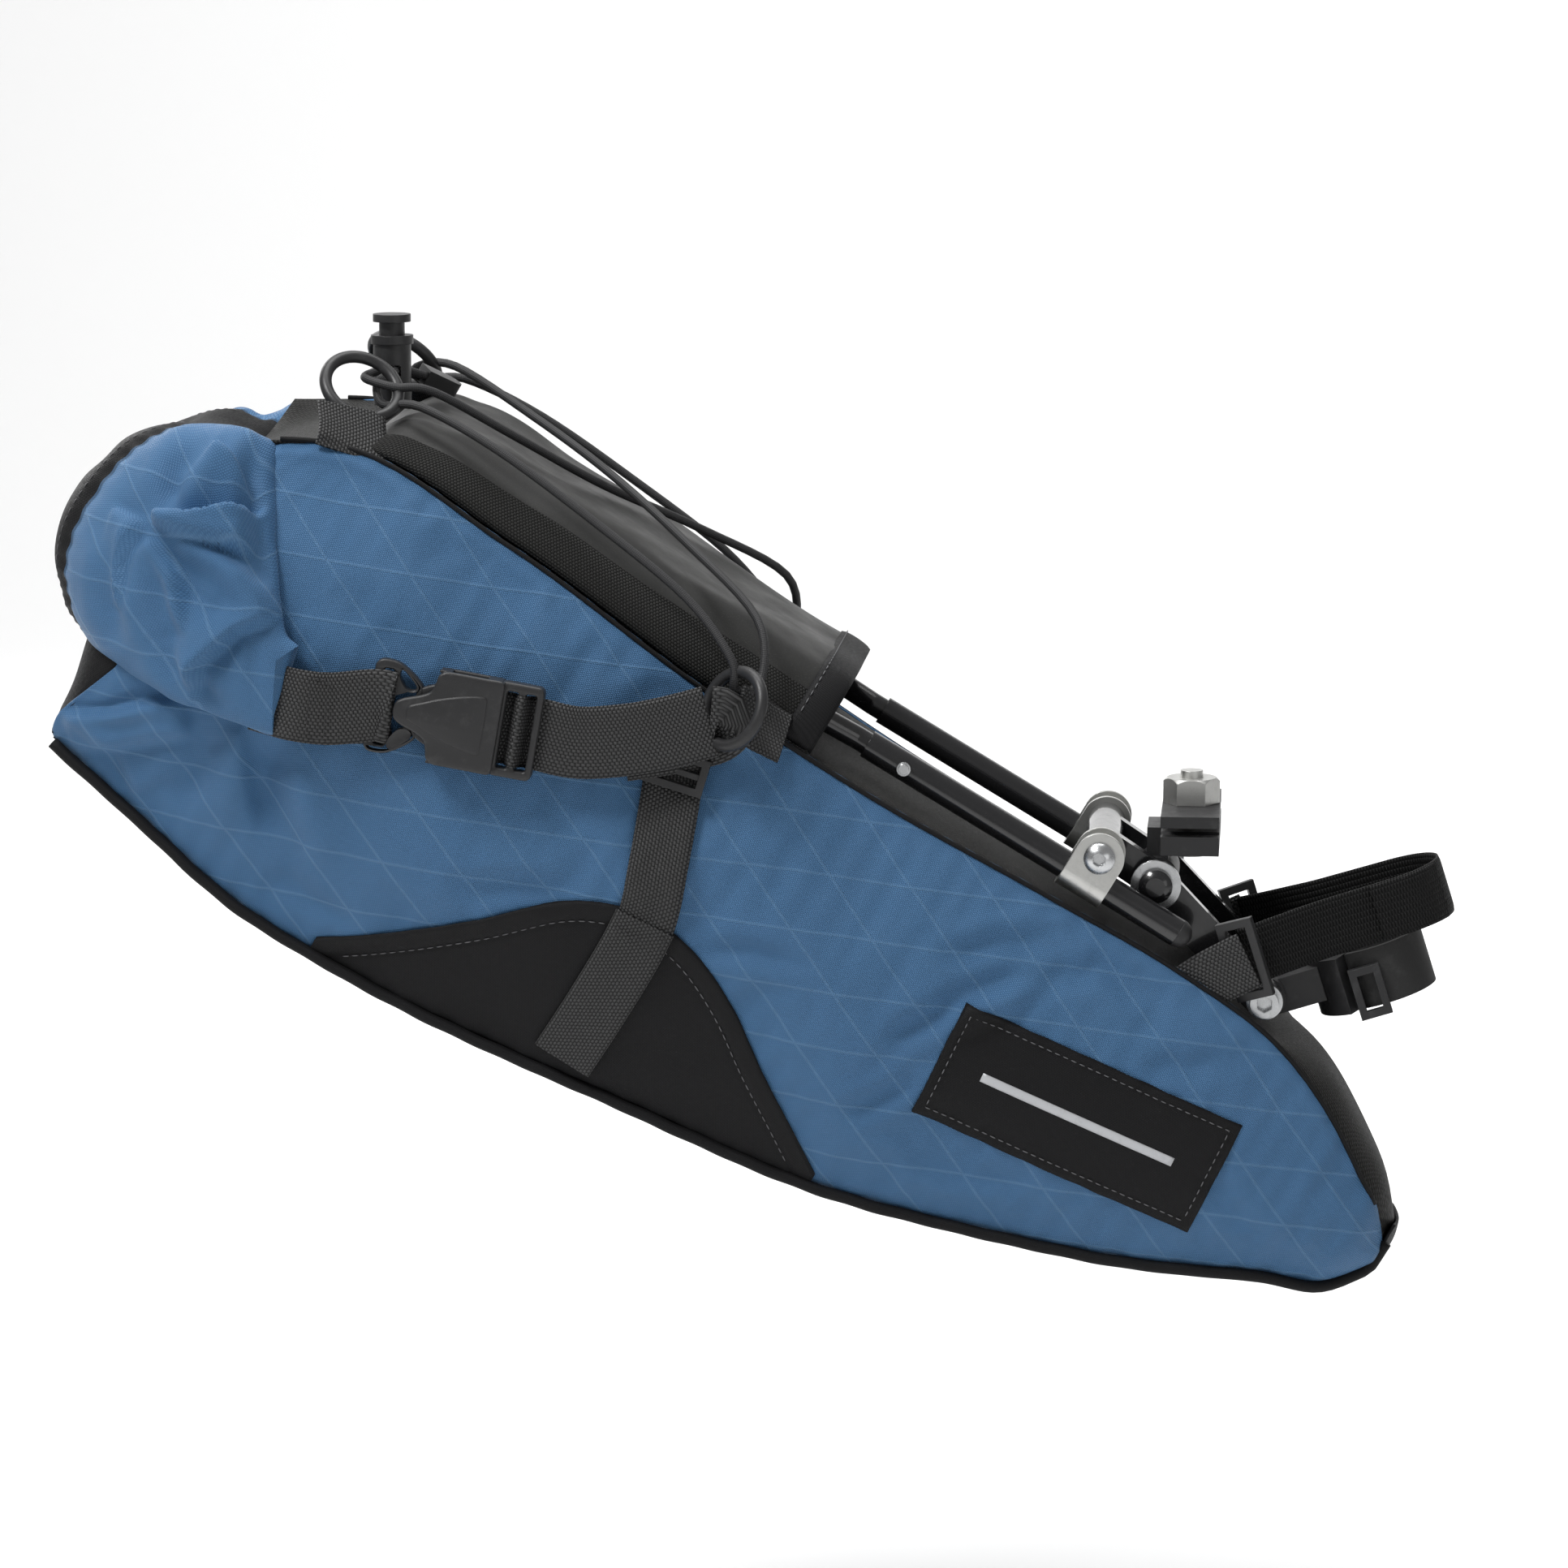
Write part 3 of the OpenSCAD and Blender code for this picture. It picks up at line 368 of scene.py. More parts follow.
def stitches(name, path, out, material, pitch=3.4, length=2.3, thick=0.45):
    """A row of sewn stitches along a path in metres, each a little thread lying on the cloth.
    out is the cloth's outward direction, one or one for each point."""
    p = np.asarray(path, float)
    along = lengths_along(p)
    out = np.broadcast_to(unit(out), p.shape)

    def at(s):
        return (np.stack([np.interp(s, along, p[:, k]) for k in range(3)], -1),
                unit(np.stack([np.interp(s, along, out[:, k]) for k in range(3)], -1)))

    starts = np.arange(0.2 * pitch * MM, along[-1] - length * MM, pitch * MM)
    shape = np.linspace(0, 1, 5)
    verts, faces, sides = [], [], 6
    ring = 2 * np.pi * np.arange(sides) / sides
    for s in starts:
        c, o = at(s + shape * length * MM)
        run = unit(np.gradient(c, axis=0))
        across = np.cross(o, run)
        r = thick / 2 * MM * np.array([0.35, 0.9, 1.0, 0.9, 0.35])
        c = c + o * MM * (0.28 * thick * np.sin(np.pi * shape) - 0.10 * thick)[:, None]
        base = len(verts)
        for i in range(5):
            for t in ring:
                verts.append(c[i] + r[i] * (math.cos(t) * across[i] + math.sin(t) * o[i]))
        for i in range(4):
            for k in range(sides):
                m = (k + 1) % sides
                faces.append([base + i * sides + k, base + i * sides + m,
                              base + (i + 1) * sides + m, base + (i + 1) * sides + k])
        faces.append([base + k for k in range(sides)][::-1])
        faces.append([base + 4 * sides + k for k in range(sides)])
    return mesh_object(name, np.array(verts), faces, None, material)


# ---------------------------------------------------------------- materials
class Shader:
    """A short way to write a node material."""

    def __init__(self, name, **base):
        self.material = bpy.data.materials.new(name)
        self.material.use_nodes = True
        self.tree = self.material.node_tree
        self.bsdf = self.tree.nodes["Principled BSDF"]
        for key, value in base.items():
            self.set(key.replace("_", " "), value)

    def connect(self, target, value):
        """Links a socket to another node's output, or gives it a plain value."""
        if hasattr(value, "is_linked"):
            self.tree.links.new(value, target)
        elif target.type == "RGBA":
            target.default_value = (*value, 1)
        else:
            target.default_value = value

    def set(self, socket, value):
        self.connect(self.bsdf.inputs[socket], value)

    def node(self, kind, inputs=(), **settings):
        made = self.tree.nodes.new(kind)
        for key, value in settings.items():
            setattr(made, key, value)
        for key, value in dict(inputs).items():
            self.connect(made.inputs[key], value)
        return made

    def math(self, operation, a, b=0.0, c=0.0):
        return self.node("ShaderNodeMath", {0: a, 1: b, 2: c}, operation=operation).outputs[0]

    def coordinates(self, kind):
        return self.node("ShaderNodeTexCoord").outputs[kind]

    def split(self, vector):
        parts = self.node("ShaderNodeSeparateXYZ", {0: vector})
        return parts.outputs[0], parts.outputs[1], parts.outputs[2]

    def noise(self, vector, scale, detail=3.0, rough=0.55):
        made = self.node("ShaderNodeTexNoise", {"Vector": vector, "Scale": scale, "Detail": detail,
                                                "Roughness": rough})
        return made.outputs["Fac"]

    def spread(self, value, low, high, to_low, to_high):
        made = self.node("ShaderNodeMapRange", {"Value": value, "From Min": low, "From Max": high,
                                                "To Min": to_low, "To Max": to_high})
        return made.outputs["Result"]

    def mix(self, factor, a, b):
        """A colour between a and b."""
        made = self.node("ShaderNodeMix", {0: factor, 6: a, 7: b}, data_type="RGBA")
        return made.outputs[2]

    def bump(self, height, distance, strength=1.0, normal=None):
        """A bump whose height runs from 0 to 1 over that many millimetres."""
        made = self.node("ShaderNodeBump", {"Height": height, "Distance": distance * MM,
                                            "Strength": strength})
        if normal is not None:
            self.tree.links.new(normal, made.inputs["Normal"])
        return made.outputs[0]

    def weave(self, u, v, pitch_u, pitch_v):
        """A plain weave's height, from 0 to 1: threads along u and along v take turns on top."""
        a = self.math("MULTIPLY", u, math.pi / (pitch_u * MM))
        b = self.math("MULTIPLY", v, math.pi / (pitch_v * MM))
        column = self.math("MULTIPLY", self.math("FLOOR", self.math("DIVIDE", b, math.pi)), math.pi / 2)
        hump = self.math("ABSOLUTE", self.math("SINE", self.math("ADD", a, column)))
        ridge = self.math("ABSOLUTE", self.math("SINE", b))
        return self.math("MULTIPLY", self.math("POWER", hump, 0.7), self.math("POWER", ridge, 0.6))


def blue_ripstop():
    """Blue laminate cloth: a fine diagonal face weave and two families of raised threads."""
    s = Shader("blue_ripstop", Sheen_Weight=0.10, Sheen_Roughness=0.4, Specular_IOR_Level=0.25)
    u, v, _ = s.split(s.coordinates("UV"))
    joined = s.node("ShaderNodeCombineXYZ", {0: u, 1: v}).outputs[0]
    wander = s.math("MULTIPLY", s.math("SUBTRACT", s.noise(joined, 18.0, 2.0), 0.5), 0.0022)

    def threads(angle, spacing, width):
        """1 on thin lines that run at an angle to the bag's length, 0 between them."""
        across = s.math("ADD", s.math("MULTIPLY", u, math.sin(math.radians(angle))),
                        s.math("MULTIPLY", v, math.cos(math.radians(angle))))
        across = s.math("ADD", across, wander)
        cell = s.math("FRACT", s.math("DIVIDE", across, spacing * MM))
        distance = s.math("ABSOLUTE", s.math("SUBTRACT", cell, 0.5))
        return s.spread(distance, 0.0, width / spacing, 1.0, 0.0)

    lines = s.math("MAXIMUM", threads(21.5, 19.5, 0.75), threads(-26, 20.5, 0.75))
    diagonal_u = s.math("ADD", u, s.math("MULTIPLY", v, 0.35))
    twill = s.weave(diagonal_u, s.math("SUBTRACT", v, s.math("MULTIPLY", u, 0.3)), 0.85, 0.62)
    slow = s.noise(joined, 35.0, 4.0)
    deep = s.mix(slow, (0.064, 0.164, 0.315), (0.082, 0.196, 0.362))
    # The twill's low points are coloured darker than its high points: a painted shade in the weave's
    # hollows.
    woven = s.mix(s.math("MULTIPLY", s.math("SUBTRACT", 1.0, twill), 0.75), deep, (0.030, 0.096, 0.215))
    # The raised threads are coloured lighter: partly their own paler colour, partly a painted highlight.
    s.set("Base Color", s.mix(s.math("MULTIPLY", lines, 0.48), woven, (0.125, 0.25, 0.42)))
    s.set("Roughness", s.spread(s.noise(joined, 60.0), 0.3, 0.7, 0.46, 0.60))
    fine = s.bump(twill, 0.17)
    s.set("Normal", s.bump(lines, 0.22, 0.9, fine))
    return s.material


def woven_black(name, pitch, depth, colour, light, rough, shine=0.16, highlight_patchiness=0.5):
    """Black woven cloth or webbing on UVs, with a thread pitch in millimetres along and across."""
    s = Shader(name, Specular_IOR_Level=shine)
    u, v, _ = s.split(s.coordinates("UV"))
    joined = s.node("ShaderNodeCombineXYZ", {0: u, 1: v}).outputs[0]
    height = s.weave(u, v, *pitch)
    grain = s.noise(joined, 900.0, 2.0)
    # The thread crowns take the light colour and the hollows keep the dark one: a painted highlight and a
    # painted shade standing in for the weave's sheen, made patchy by the grain.
    painted_crown_highlight = s.math("MULTIPLY", height, s.spread(grain, 0.3, 0.7, 1.0 - highlight_patchiness, 1.0))
    s.set("Base Color", s.mix(painted_crown_highlight, colour, light))
    s.set("Roughness", s.spread(grain, 0.3, 0.7, rough - 0.08, rough + 0.1))
    s.set("Normal", s.bump(height, depth))
    return s.material


def coated_cloth():
    """Smooth grey-black coated cloth, with fine specks and soft creases."""
    s = Shader("coated_cloth", Specular_IOR_Level=0.28)
    at = s.coordinates("UV")
    specks = s.noise(at, 2600.0, 1.0)
    cloud = s.noise(at, 55.0, 5.0)
    base = s.mix(cloud, (0.014, 0.014, 0.0135), (0.026, 0.026, 0.025))
    s.set("Base Color", s.mix(s.spread(specks, 0.62, 0.80, 0.0, 0.5), base, (0.11, 0.11, 0.10)))
    s.set("Roughness", s.spread(cloud, 0.3, 0.7, 0.40, 0.60))
    s.set("Normal", s.bump(cloud, 0.35, 0.7, s.bump(specks, 0.05)))
    return s.material


def plastic(name, colour, rough, grain=0.03, wear=0.05):
    """Moulded plastic with a fine spark-eroded grain and scuffs."""
    s = Shader(name, Specular_IOR_Level=0.45)
    at = s.coordinates("Object")
    texture = s.noise(at, 2200.0, 3.0)
    scuffs = s.noise(at, 160.0, 6.0, 0.7)
    light = tuple(c + wear for c in colour)
    s.set("Base Color", s.mix(s.spread(scuffs, 0.55, 0.85, 0.0, 0.5), colour, light))
    s.set("Roughness", s.spread(scuffs, 0.3, 0.75, rough - 0.06, rough + 0.12))
    edges = s.node("ShaderNodeBevel", {"Radius": 0.45 * MM}, samples=4).outputs[0]
    s.set("Normal", s.bump(texture, grain, 1.0, edges))
    return s.material


def metal(name, colour, rough, brushed=0.0, coat=0.0, metallic=1.0):
    """Plated, brushed or painted metal, with light scratches and softened edges."""
    s = Shader(name, Metallic=metallic, Coat_Weight=coat, Coat_Roughness=0.06)
    at = s.coordinates("Object")
    scuffs = s.noise(at, 240.0, 7.0, 0.75)
    streaks = s.node("ShaderNodeMapping", {"Vector": at, "Scale": (1.0, 14.0, 1.0)}).outputs[0]
    lines = s.noise(streaks, 260.0, 3.0)
    dull = tuple(0.72 * c for c in colour)
    s.set("Base Color", s.mix(s.spread(scuffs, 0.5, 0.8, 0.0, 0.6), colour, dull))
    s.set("Roughness", s.spread(scuffs, 0.35, 0.75, rough, rough + 0.14))
    edges = s.node("ShaderNodeBevel", {"Radius": 0.4 * MM}, samples=4).outputs[0]
    s.set("Normal", s.bump(lines, 0.02 + brushed, 1.0, edges))
    return s.material


def elastic_sleeve():
    """The braided cover of the elastic cord."""
    s = Shader("braid", Roughness=0.6)
    u, v, _ = s.split(s.coordinates("UV"))
    a = s.math("SINE", s.math("MULTIPLY", s.math("ADD", u, v), 2 * math.pi / (1.3 * MM)))
    b = s.math("SINE", s.math("MULTIPLY", s.math("SUBTRACT", u, v), 2 * math.pi / (1.3 * MM)))
    braid = s.spread(s.math("MULTIPLY", a, b), -1.0, 1.0, 0.0, 1.0)
    # The raised strands of the braid are coloured lighter than the sunken ones: a painted highlight that
    # follows the bump.
    s.set("Base Color", s.mix(braid, (0.010, 0.010, 0.011), (0.034, 0.034, 0.036)))
    s.set("Normal", s.bump(braid, 0.12))
    return s.material


def plain_thread(name, colour):
    s = Shader(name, Roughness=0.55)
    strands = s.noise(s.coordinates("Object"), 3000.0, 2.0)
    s.set("Base Color", s.mix(strands, colour, tuple(1.6 * c for c in colour)))
    return s.material


def stage_white():
    return Shader("stage_white", Base_Color=(0.86, 0.86, 0.86), Roughness=0.9).material


BLUE = blue_ripstop()
# In each call the second colour is the painted highlight laid on the thread crowns.
COARSE = woven_black("coarse_black", (1.25, 1.0), 0.30, (0.004, 0.004, 0.004), (0.030, 0.030, 0.028), 0.55)
FINE = woven_black("fine_black", (0.6, 0.55), 0.08, (0.005, 0.005, 0.0055), (0.013, 0.013, 0.014), 0.55,
                   highlight_patchiness=0.3)
WEBBING = woven_black("webbing_black", (1.5, 1.15), 0.40, (0.003, 0.003, 0.003), (0.075, 0.075, 0.076), 0.45,
                      shine=0.26, highlight_patchiness=0.3)
HOOK = woven_black("hook_and_loop", (1.1, 2.1), 0.5, (0.004, 0.004, 0.004), (0.014, 0.014, 0.014), 0.6)
COATED = coated_cloth()
BUCKLE = plastic("buckle_black", (0.022, 0.022, 0.023), 0.40)
CLAMP = plastic("clamp_black", (0.016, 0.016, 0.017), 0.44)
RUBBER = plastic("rubber_black", (0.014, 0.014, 0.014), 0.62, 0.06)
BOARD = plastic("board_black", (0.02, 0.02, 0.02), 0.6)
PAINT = metal("gloss_black_paint", (0.010, 0.010, 0.011), 0.18, 0.0, 0.7, 0.0)
CHROME = metal("zinc_plate", (0.62, 0.63, 0.64), 0.20)
ALLOY = metal("bare_alloy", (0.60, 0.60, 0.58), 0.34, 0.03)
CORD = elastic_sleeve()
THREAD = plain_thread("grey_thread", (0.085, 0.085, 0.09))
DARK_THREAD = plain_thread("black_thread", (0.016, 0.016, 0.017))
REFLECT = metal("reflective_tape", (0.55, 0.56, 0.58), 0.5, 0.0, 0.0, 0.3)


# ---------------------------------------------------------------- camera, floor and lights
def place_camera():
    """Looks at the object's right side from a little behind and above, from two metres."""
    azimuth, elevation, distance = math.radians(5), math.radians(9.5), 2.0
    ca, sa, ce, se = math.cos(azimuth), math.sin(azimuth), math.cos(elevation), math.sin(elevation)
    right = Vector((ca, sa, 0))
    up = Vector((-sa * se, ca * se, ce))
    back = Vector((sa * ce, -ca * ce, se))
    data = bpy.data.cameras.new("camera")
    data.sensor_width = 36
    data.lens = 132.3
    data.clip_end = 50
    camera = bpy.data.objects.new("camera", data)
    bpy.context.scene.collection.objects.link(camera)
    turn = Matrix((right, up, back)).transposed().to_4x4()
    camera.matrix_world = Matrix.Translation(-0.2059 * right + 0.0631 * up + distance * back) @ turn
    bpy.context.scene.camera = camera


def build_stage():
    """A pale floor that curves up into a wall far behind."""
    floor_z = cad_box[0][2] - 0.22
    profile = [(-4.0, 0.0), (3.0, 0.0)]
    profile += [(3.0 + 1.5 * math.sin(t), 1.5 - 1.5 * math.cos(t)) for t in np.linspace(0.1, np.pi / 2, 14)]
    profile.append((4.5, 5.0))
    points = np.array([[(x, y, floor_z + z) for y, z in profile] for x in (-6.0, 6.0)])
    uv = [[(0, 0) for _ in profile] for _ in range(2)]
    stage = grid("floor", points, uv, stage_white(), flip=True)


def soft_light(name, place, aim, size, power, tint=(1, 1, 1)):
    data = bpy.data.lights.new(name, "AREA")
    data.shape = "RECTANGLE"
    data.size, data.size_y = size
    data.energy = power
    data.color = tint
    light = bpy.data.objects.new(name, data)
    bpy.context.scene.collection.objects.link(light)
    light.location = place
    light.rotation_euler = (Vector(aim) - Vector(place)).to_track_quat("-Z", "Y").to_euler()


def light_scene():
    world = bpy.data.worlds.new("world")
    bpy.context.scene.world = world
    world.use_nodes = True
    background = world.node_tree.nodes["Background"]
    background.inputs["Color"].default_value = (1, 1, 1, 1)
    background.inputs["Strength"].default_value = 0.28
    middle = (-0.2, 0, 0.05)
    soft_light("key", (-1.15, -1.0, 1.9), middle, (0.6, 0.6), 38)
    soft_light("fill", (1.3, -1.8, 0.4), middle, (1.5, 1.0), 4)
    soft_light("top", (-0.2, 0.4, 2.0), middle, (1.4, 1.0), 26)
    soft_light("rim", (-1.4, 1.4, 0.9), middle, (0.8, 1.2), 10)
    soft_light("wall", (0.0, 1.2, 1.8), (0, 4.0, 0.6), (3.0, 1.0), 90)
    view = bpy.context.scene.view_settings
    view.view_transform = "Standard"
    view.look = "None"


place_camera()
build_stage()
light_scene()


# ---------------------------------------------------------------- folds
def along_line(x, z, line):
    """Signed distance from a line of (x, z) points, and the share of the line passed there."""
    line = np.array(line, float)
    best = np.full(x.shape, 1e9)
    share = np.zeros(x.shape)
    done = lengths_along(line)
    done = done / done[-1]
    for i in range(len(line) - 1):
        a, b = line[i], line[i + 1]
        d = b - a
        f = np.clip(((x - a[0]) * d[0] + (z - a[1]) * d[1]) / (d @ d), 0, 1)
        gap_x, gap_z = x - a[0] - f * d[0], z - a[1] - f * d[1]
        gap = np.hypot(gap_x, gap_z)
        side = np.sign(d[0] * gap_z - d[1] * gap_x)
        closer = gap < np.abs(best)
        best = np.where(closer, gap * np.where(side == 0, 1, side), best)
        share = np.where(closer, done[i] + f * (done[i + 1] - done[i]), share)
    return best, share


def fade(share, start, end):
    """Fades a fold in over its first part and out over its last."""
    into = np.clip(share / max(start, 1e-6), 0, 1) if start else 1.0
    away = np.clip((1 - share) / max(end, 1e-6), 0, 1) if end else 1.0
    return np.minimum(into, away)**0.8


def pleat(x, z, line, height, wide=9.0, narrow=4.0, edge=0.9, start=0.15, end=0.3):
    """Cloth lying over itself: high on the line's left, low on its right, with a sharp edge."""
    d, share = along_line(x, z, line)
    step = 0.5 * (1 + np.tanh(d / edge))
    high = step * np.exp(-np.maximum(d, 0) / wide)
    low = 0.45 * (1 - step) * np.exp(-np.maximum(-d, 0) / narrow)
    return height * (high - low) * fade(share, start, end) * np.exp(-np.abs(d) / (3 * wide))


def dent(x, z, line, depth, width, start=0.25, end=0.35):
    """A soft valley along a line, with low shoulders. A depth below 0 is a ridge."""
    d, share = along_line(x, z, line)
    valley = -np.exp(-(d / width)**2) + 0.3 * np.exp(-((np.abs(d) - 1.9 * width) / width)**2)
    return depth * valley * fade(share, start, end)


def waves(x, z, seed, size, lengths):
    """Slow unevenness from a few sine waves in seeded directions."""
    draw = np.random.default_rng(seed)
    total = np.zeros(np.shape(x))
    for length in lengths:
        turn, phase = draw.uniform(0, 2 * np.pi, 2)
        total += np.sin((x * np.cos(turn) + z * np.sin(turn)) * 2 * np.pi / length + phase) * length
    return total * size / sum(lengths)


SIDE_DENTS = [  # line of (x, z) points, depth, width
    ([(134, -66), (118, -52), (100, -42)], 1.7, 4.0),
    ([(128, -78), (112, -62), (84, -44), (58, -40)], 1.3, 4.5),
    ([(120, -86), (106, -66), (98, -46)], -1.4, 4.0),
    ([(134, -100), (124, -82), (120, -72)], 1.9, 4.0),
    ([(133, -130), (124, -116), (118, -106)], 1.5, 3.5),
    ([(56, -66), (40, -56), (26, -46)], 1.2, 4.5),
    ([(64, -118), (84, -128), (108, -134)], 1.0, 4.5),
    ([(18, -84), (2, -92), (-14, -96)], 0.9, 4.0),
    ([(206, -104), (190, -96), (168, -90)], 1.5, 3.6),
    ([(252, -112), (268, -116), (286, -130)], 1.1, 4.5),
    ([(366, -116), (360, -130), (350, -148)], 3.2, 7.0),
    ([(352, -120), (336, -136), (322, -152)], -1.6, 7.0),
    ([(384, -122), (380, -138), (384, -156)], 1.8, 6.0),
    ([(340, -158), (326, -160), (308, -158)], 1.2, 4.0),
    ([(372, -60), (352, -66), (330, -62)], 1.2, 8.0),
    ([(246, -54), (222, -62), (200, -60)], 0.9, 6.0),
]
CORNER_PLEATS = [  # line, height
    ([(431, -150), (420, -141), (404, -126), (394, -121)], 6.5),
    ([(388, -130), (402, -142), (413, -153), (424, -161)], 5.0),
    ([(396, -161), (408, -152), (428, -151)], 3.6),
    ([(374, -118), (364, -134), (352, -150)], 2.6),
]


def side_relief(x, z, side):
    """Folds of a side panel, outward in millimetres."""
    total = waves(x, z, 11 + side, 0.9, (150, 95, 62, 40))
    for line, depth, width in SIDE_DENTS:
        total = total + 1.5 * dent(x, z, line, depth, width)
    for line, height in CORNER_PLEATS:
        total = total + pleat(x, z, line, height, wide=9, narrow=6, edge=1.1, start=0.05, end=0.3)
    f = np.clip((seam_z(x) - z) / 6.0, 0, 1)
    g = np.clip((z - edge_z(x)) / 6.0, 0, 1)
    pucker = 0.35 * np.sin(x * 0.61 + 1.4 * np.sin(x * 0.083)) * (np.exp(-f * 2.2) + np.exp(-g * 2.2))
    held = np.minimum(f, 1) * np.minimum(g, 1)
    return total * held + pucker - 1.7 * (1 - f)**2 - 1.2 * (1 - g)**2


def cloth_relax(obj, held, frames, spare, push):
    """Runs a short cloth simulation on a sheet and applies it. held says which vertices stay put, spare is
    how much longer than its space the cloth is, and push the pressure from the load inside."""
    group = obj.vertex_groups.new(name="held")
    group.add(np.flatnonzero(held).tolist(), 1.0, "REPLACE")
    cloth = obj.modifiers.new("cloth", "CLOTH")
    settings = cloth.settings
    settings.quality = 4
    settings.mass = 0.25
    settings.tension_stiffness = settings.compression_stiffness = 22
    settings.shear_stiffness = 12
    settings.bending_stiffness = 1.2
    settings.vertex_group_mass = "held"
    settings.pin_stiffness = 1.0
    settings.shrink_min = -spare
    settings.use_pressure = True
    settings.uniform_pressure_force = push
    settings.effector_weights.gravity = 0
    cloth.collision_settings.use_collision = False
    scene = bpy.context.scene
    scene.frame_start, scene.frame_end = 1, frames
    cloth.point_cache.frame_start, cloth.point_cache.frame_end = 1, frames
    for step in range(1, frames + 1):
        scene.frame_set(step)
    apply_modifiers(obj)
    obj.vertex_groups.clear()
    scene.frame_set(1)
    return obj


# ---------------------------------------------------------------- bag shell
def vertex_array(obj):
    co = np.zeros(len(obj.data.vertices) * 3)
    obj.data.vertices.foreach_get("co", co)
    return co.reshape(-1, 3)


MOST_MOVED = 3.0  # millimetres that the cloth simulation may move a point of a side panel


def side_panel(side, name, node):
    """One blue side panel: shaped with its main folds, then relaxed as cloth between its seams."""
    xs = np.concatenate([np.linspace(BAG_FRONT, 330, 130), np.linspace(332, BAG_REAR, 58)])
    fs = np.linspace(0, 1, 58)
    x = np.repeat(xs[:, None], len(fs), 1)
    z = seam_z(x) + (edge_z(x) - seam_z(x)) * fs[None, :]
    y = side_y(x, z) + side_relief(x, z, side)
    near_rear = np.clip((x - 392) / 40, 0, 1)**2
    x = x - near_rear * (10 * np.clip((z + 150) / 26, 0, 1) + 2 * np.clip((-154 - z) / 7, 0, 1)**2)
    points = row(np.stack([x, side * y, z], -1))
    uv = np.stack([x * MM, z * MM], -1)
    panel = grid(name, points, uv, BLUE, flip=side < 0)
    before = vertex_array(panel)
    held = (np.abs(x - LABEL["x"]) < 46) & (np.abs(z - LABEL["z"]) < 16)
    held |= (z < curve(LOWER_PANEL_TOP, x) - 6) & (x > 140) & (x < 310)
    held[:2] = held[-2:] = held[:, :2] = held[:, -2:] = True
    cloth_relax(panel, held.reshape(-1), 14, 0.012, 0.6)
    moved = vertex_array(panel) - before
    far = np.linalg.norm(moved, axis=1, keepdims=True)
    after = before + moved * np.minimum(1, MOST_MOVED * MM / np.maximum(far, 1e-9))
    panel.data.vertices.foreach_set("co", after.reshape(-1))
    subdivide(panel)
    thicken(panel, 0.9)
    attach(panel, "bag")
    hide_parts(node)
    return panel


def surface_of(panel):
    """Reads the height of a finished side panel above the middle plane, at (x, z) in the rack frame."""
    verts = [Vector(v) for v in rack(vertex_array(panel))]
    faces = [tuple(p.vertices) for p in panel.data.polygons]
    tree = BVHTree.FromPolygons(verts, faces)

    def height(x, z, side):
        x, z = np.broadcast_arrays(np.asarray(x, float), np.asarray(z, float))
        out = np.zeros(x.shape)
        for i in np.ndindex(x.shape):
            hit = tree.ray_cast(Vector((x[i], side * 200, z[i])), Vector((0, -side, 0)))[0]
            out[i] = abs(hit[1]) if hit is not None else side_y(x[i], z[i])
        return out
    return height


side_right = side_panel(1, "side_cloth_right", "side_panel_right")
side_left = side_panel(-1, "side_cloth_left", "side_panel_left")
HEIGHT = {1: surface_of(side_right), -1: surface_of(side_left)}


def on_side(x, z, side, lift):
    """Points that lie on a side panel, raised by lift millimetres, in metres."""
    y = HEIGHT[side](x, z, side) + lift
    return row(np.stack([np.asarray(x) + 0 * y, side * y, np.asarray(z) + 0 * y], -1))


def finish_piece(obj, body, slot, *nodes):
    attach(obj, body)
    if nodes:
        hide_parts(*nodes)
    return obj


def top_and_bottom():
    """The black panels across the top and the bottom of the bag, and the nose."""
    xs = np.linspace(BAG_FRONT, BAG_REAR - 2, 150)
    ws = np.linspace(-1, 1, 41)
    x = np.repeat(xs[:, None], len(ws), 1)
    w = np.repeat(ws[None, :], len(xs), 0)
    inset = 1.2
    y = w * (seam_y(x) - inset)
    z = curve(TOP_CROWN, x) + (seam_z(x) - curve(TOP_CROWN, x)) * np.abs(w)**3
    z = z + waves(x, y, 5, 0.7, (70, 45, 30)) * (1 - w**4) - 1.2 * np.abs(w)**24
    z = z - 17 * np.clip((x - 392) / 40, 0, 1)**1.5 * (1 - np.abs(w)**6)
    uv = np.stack([x, y], -1) * MM
    top = grid("top_cloth", row(np.stack([x, y, z], -1)), uv, COARSE, flip=True)
    thicken(top, 1.0)
    finish_piece(top, "bag", "black_fabric", "top_panel")
    y = w * (edge_y(x) - inset)
    z = edge_z(x) - 3.5 * (1 - w * w) + waves(x, y, 6, 0.8, (90, 60, 35)) * (1 - w**4)
    bottom = grid("bottom_cloth", row(np.stack([x, y, z], -1)), uv, FINE)
    thicken(bottom, 1.0)
    finish_piece(bottom, "bag", "black_fabric", "bottom_panel")
    low, high = float(edge_z(BAG_FRONT)), float(curve(TOP_CROWN, BAG_FRONT))
    fs = np.linspace(0, 1, 14)
    wf = np.linspace(-1, 1, 25)
    f, w = np.meshgrid(fs, wf, indexing="ij")
    z = low + (high - low) * f
    nose = np.stack([BAG_FRONT - 4 * (1 - w**2) * np.sin(np.pi * (0.15 + 0.7 * f)), w * 16.4, z], -1)
    front = grid("front_cloth", row(nose), np.stack([w * 16 * MM, z * MM], -1), FINE, flip=True)
    thicken(front, 1.0)
    finish_piece(front, "bag", "black_fabric", "front_panel")


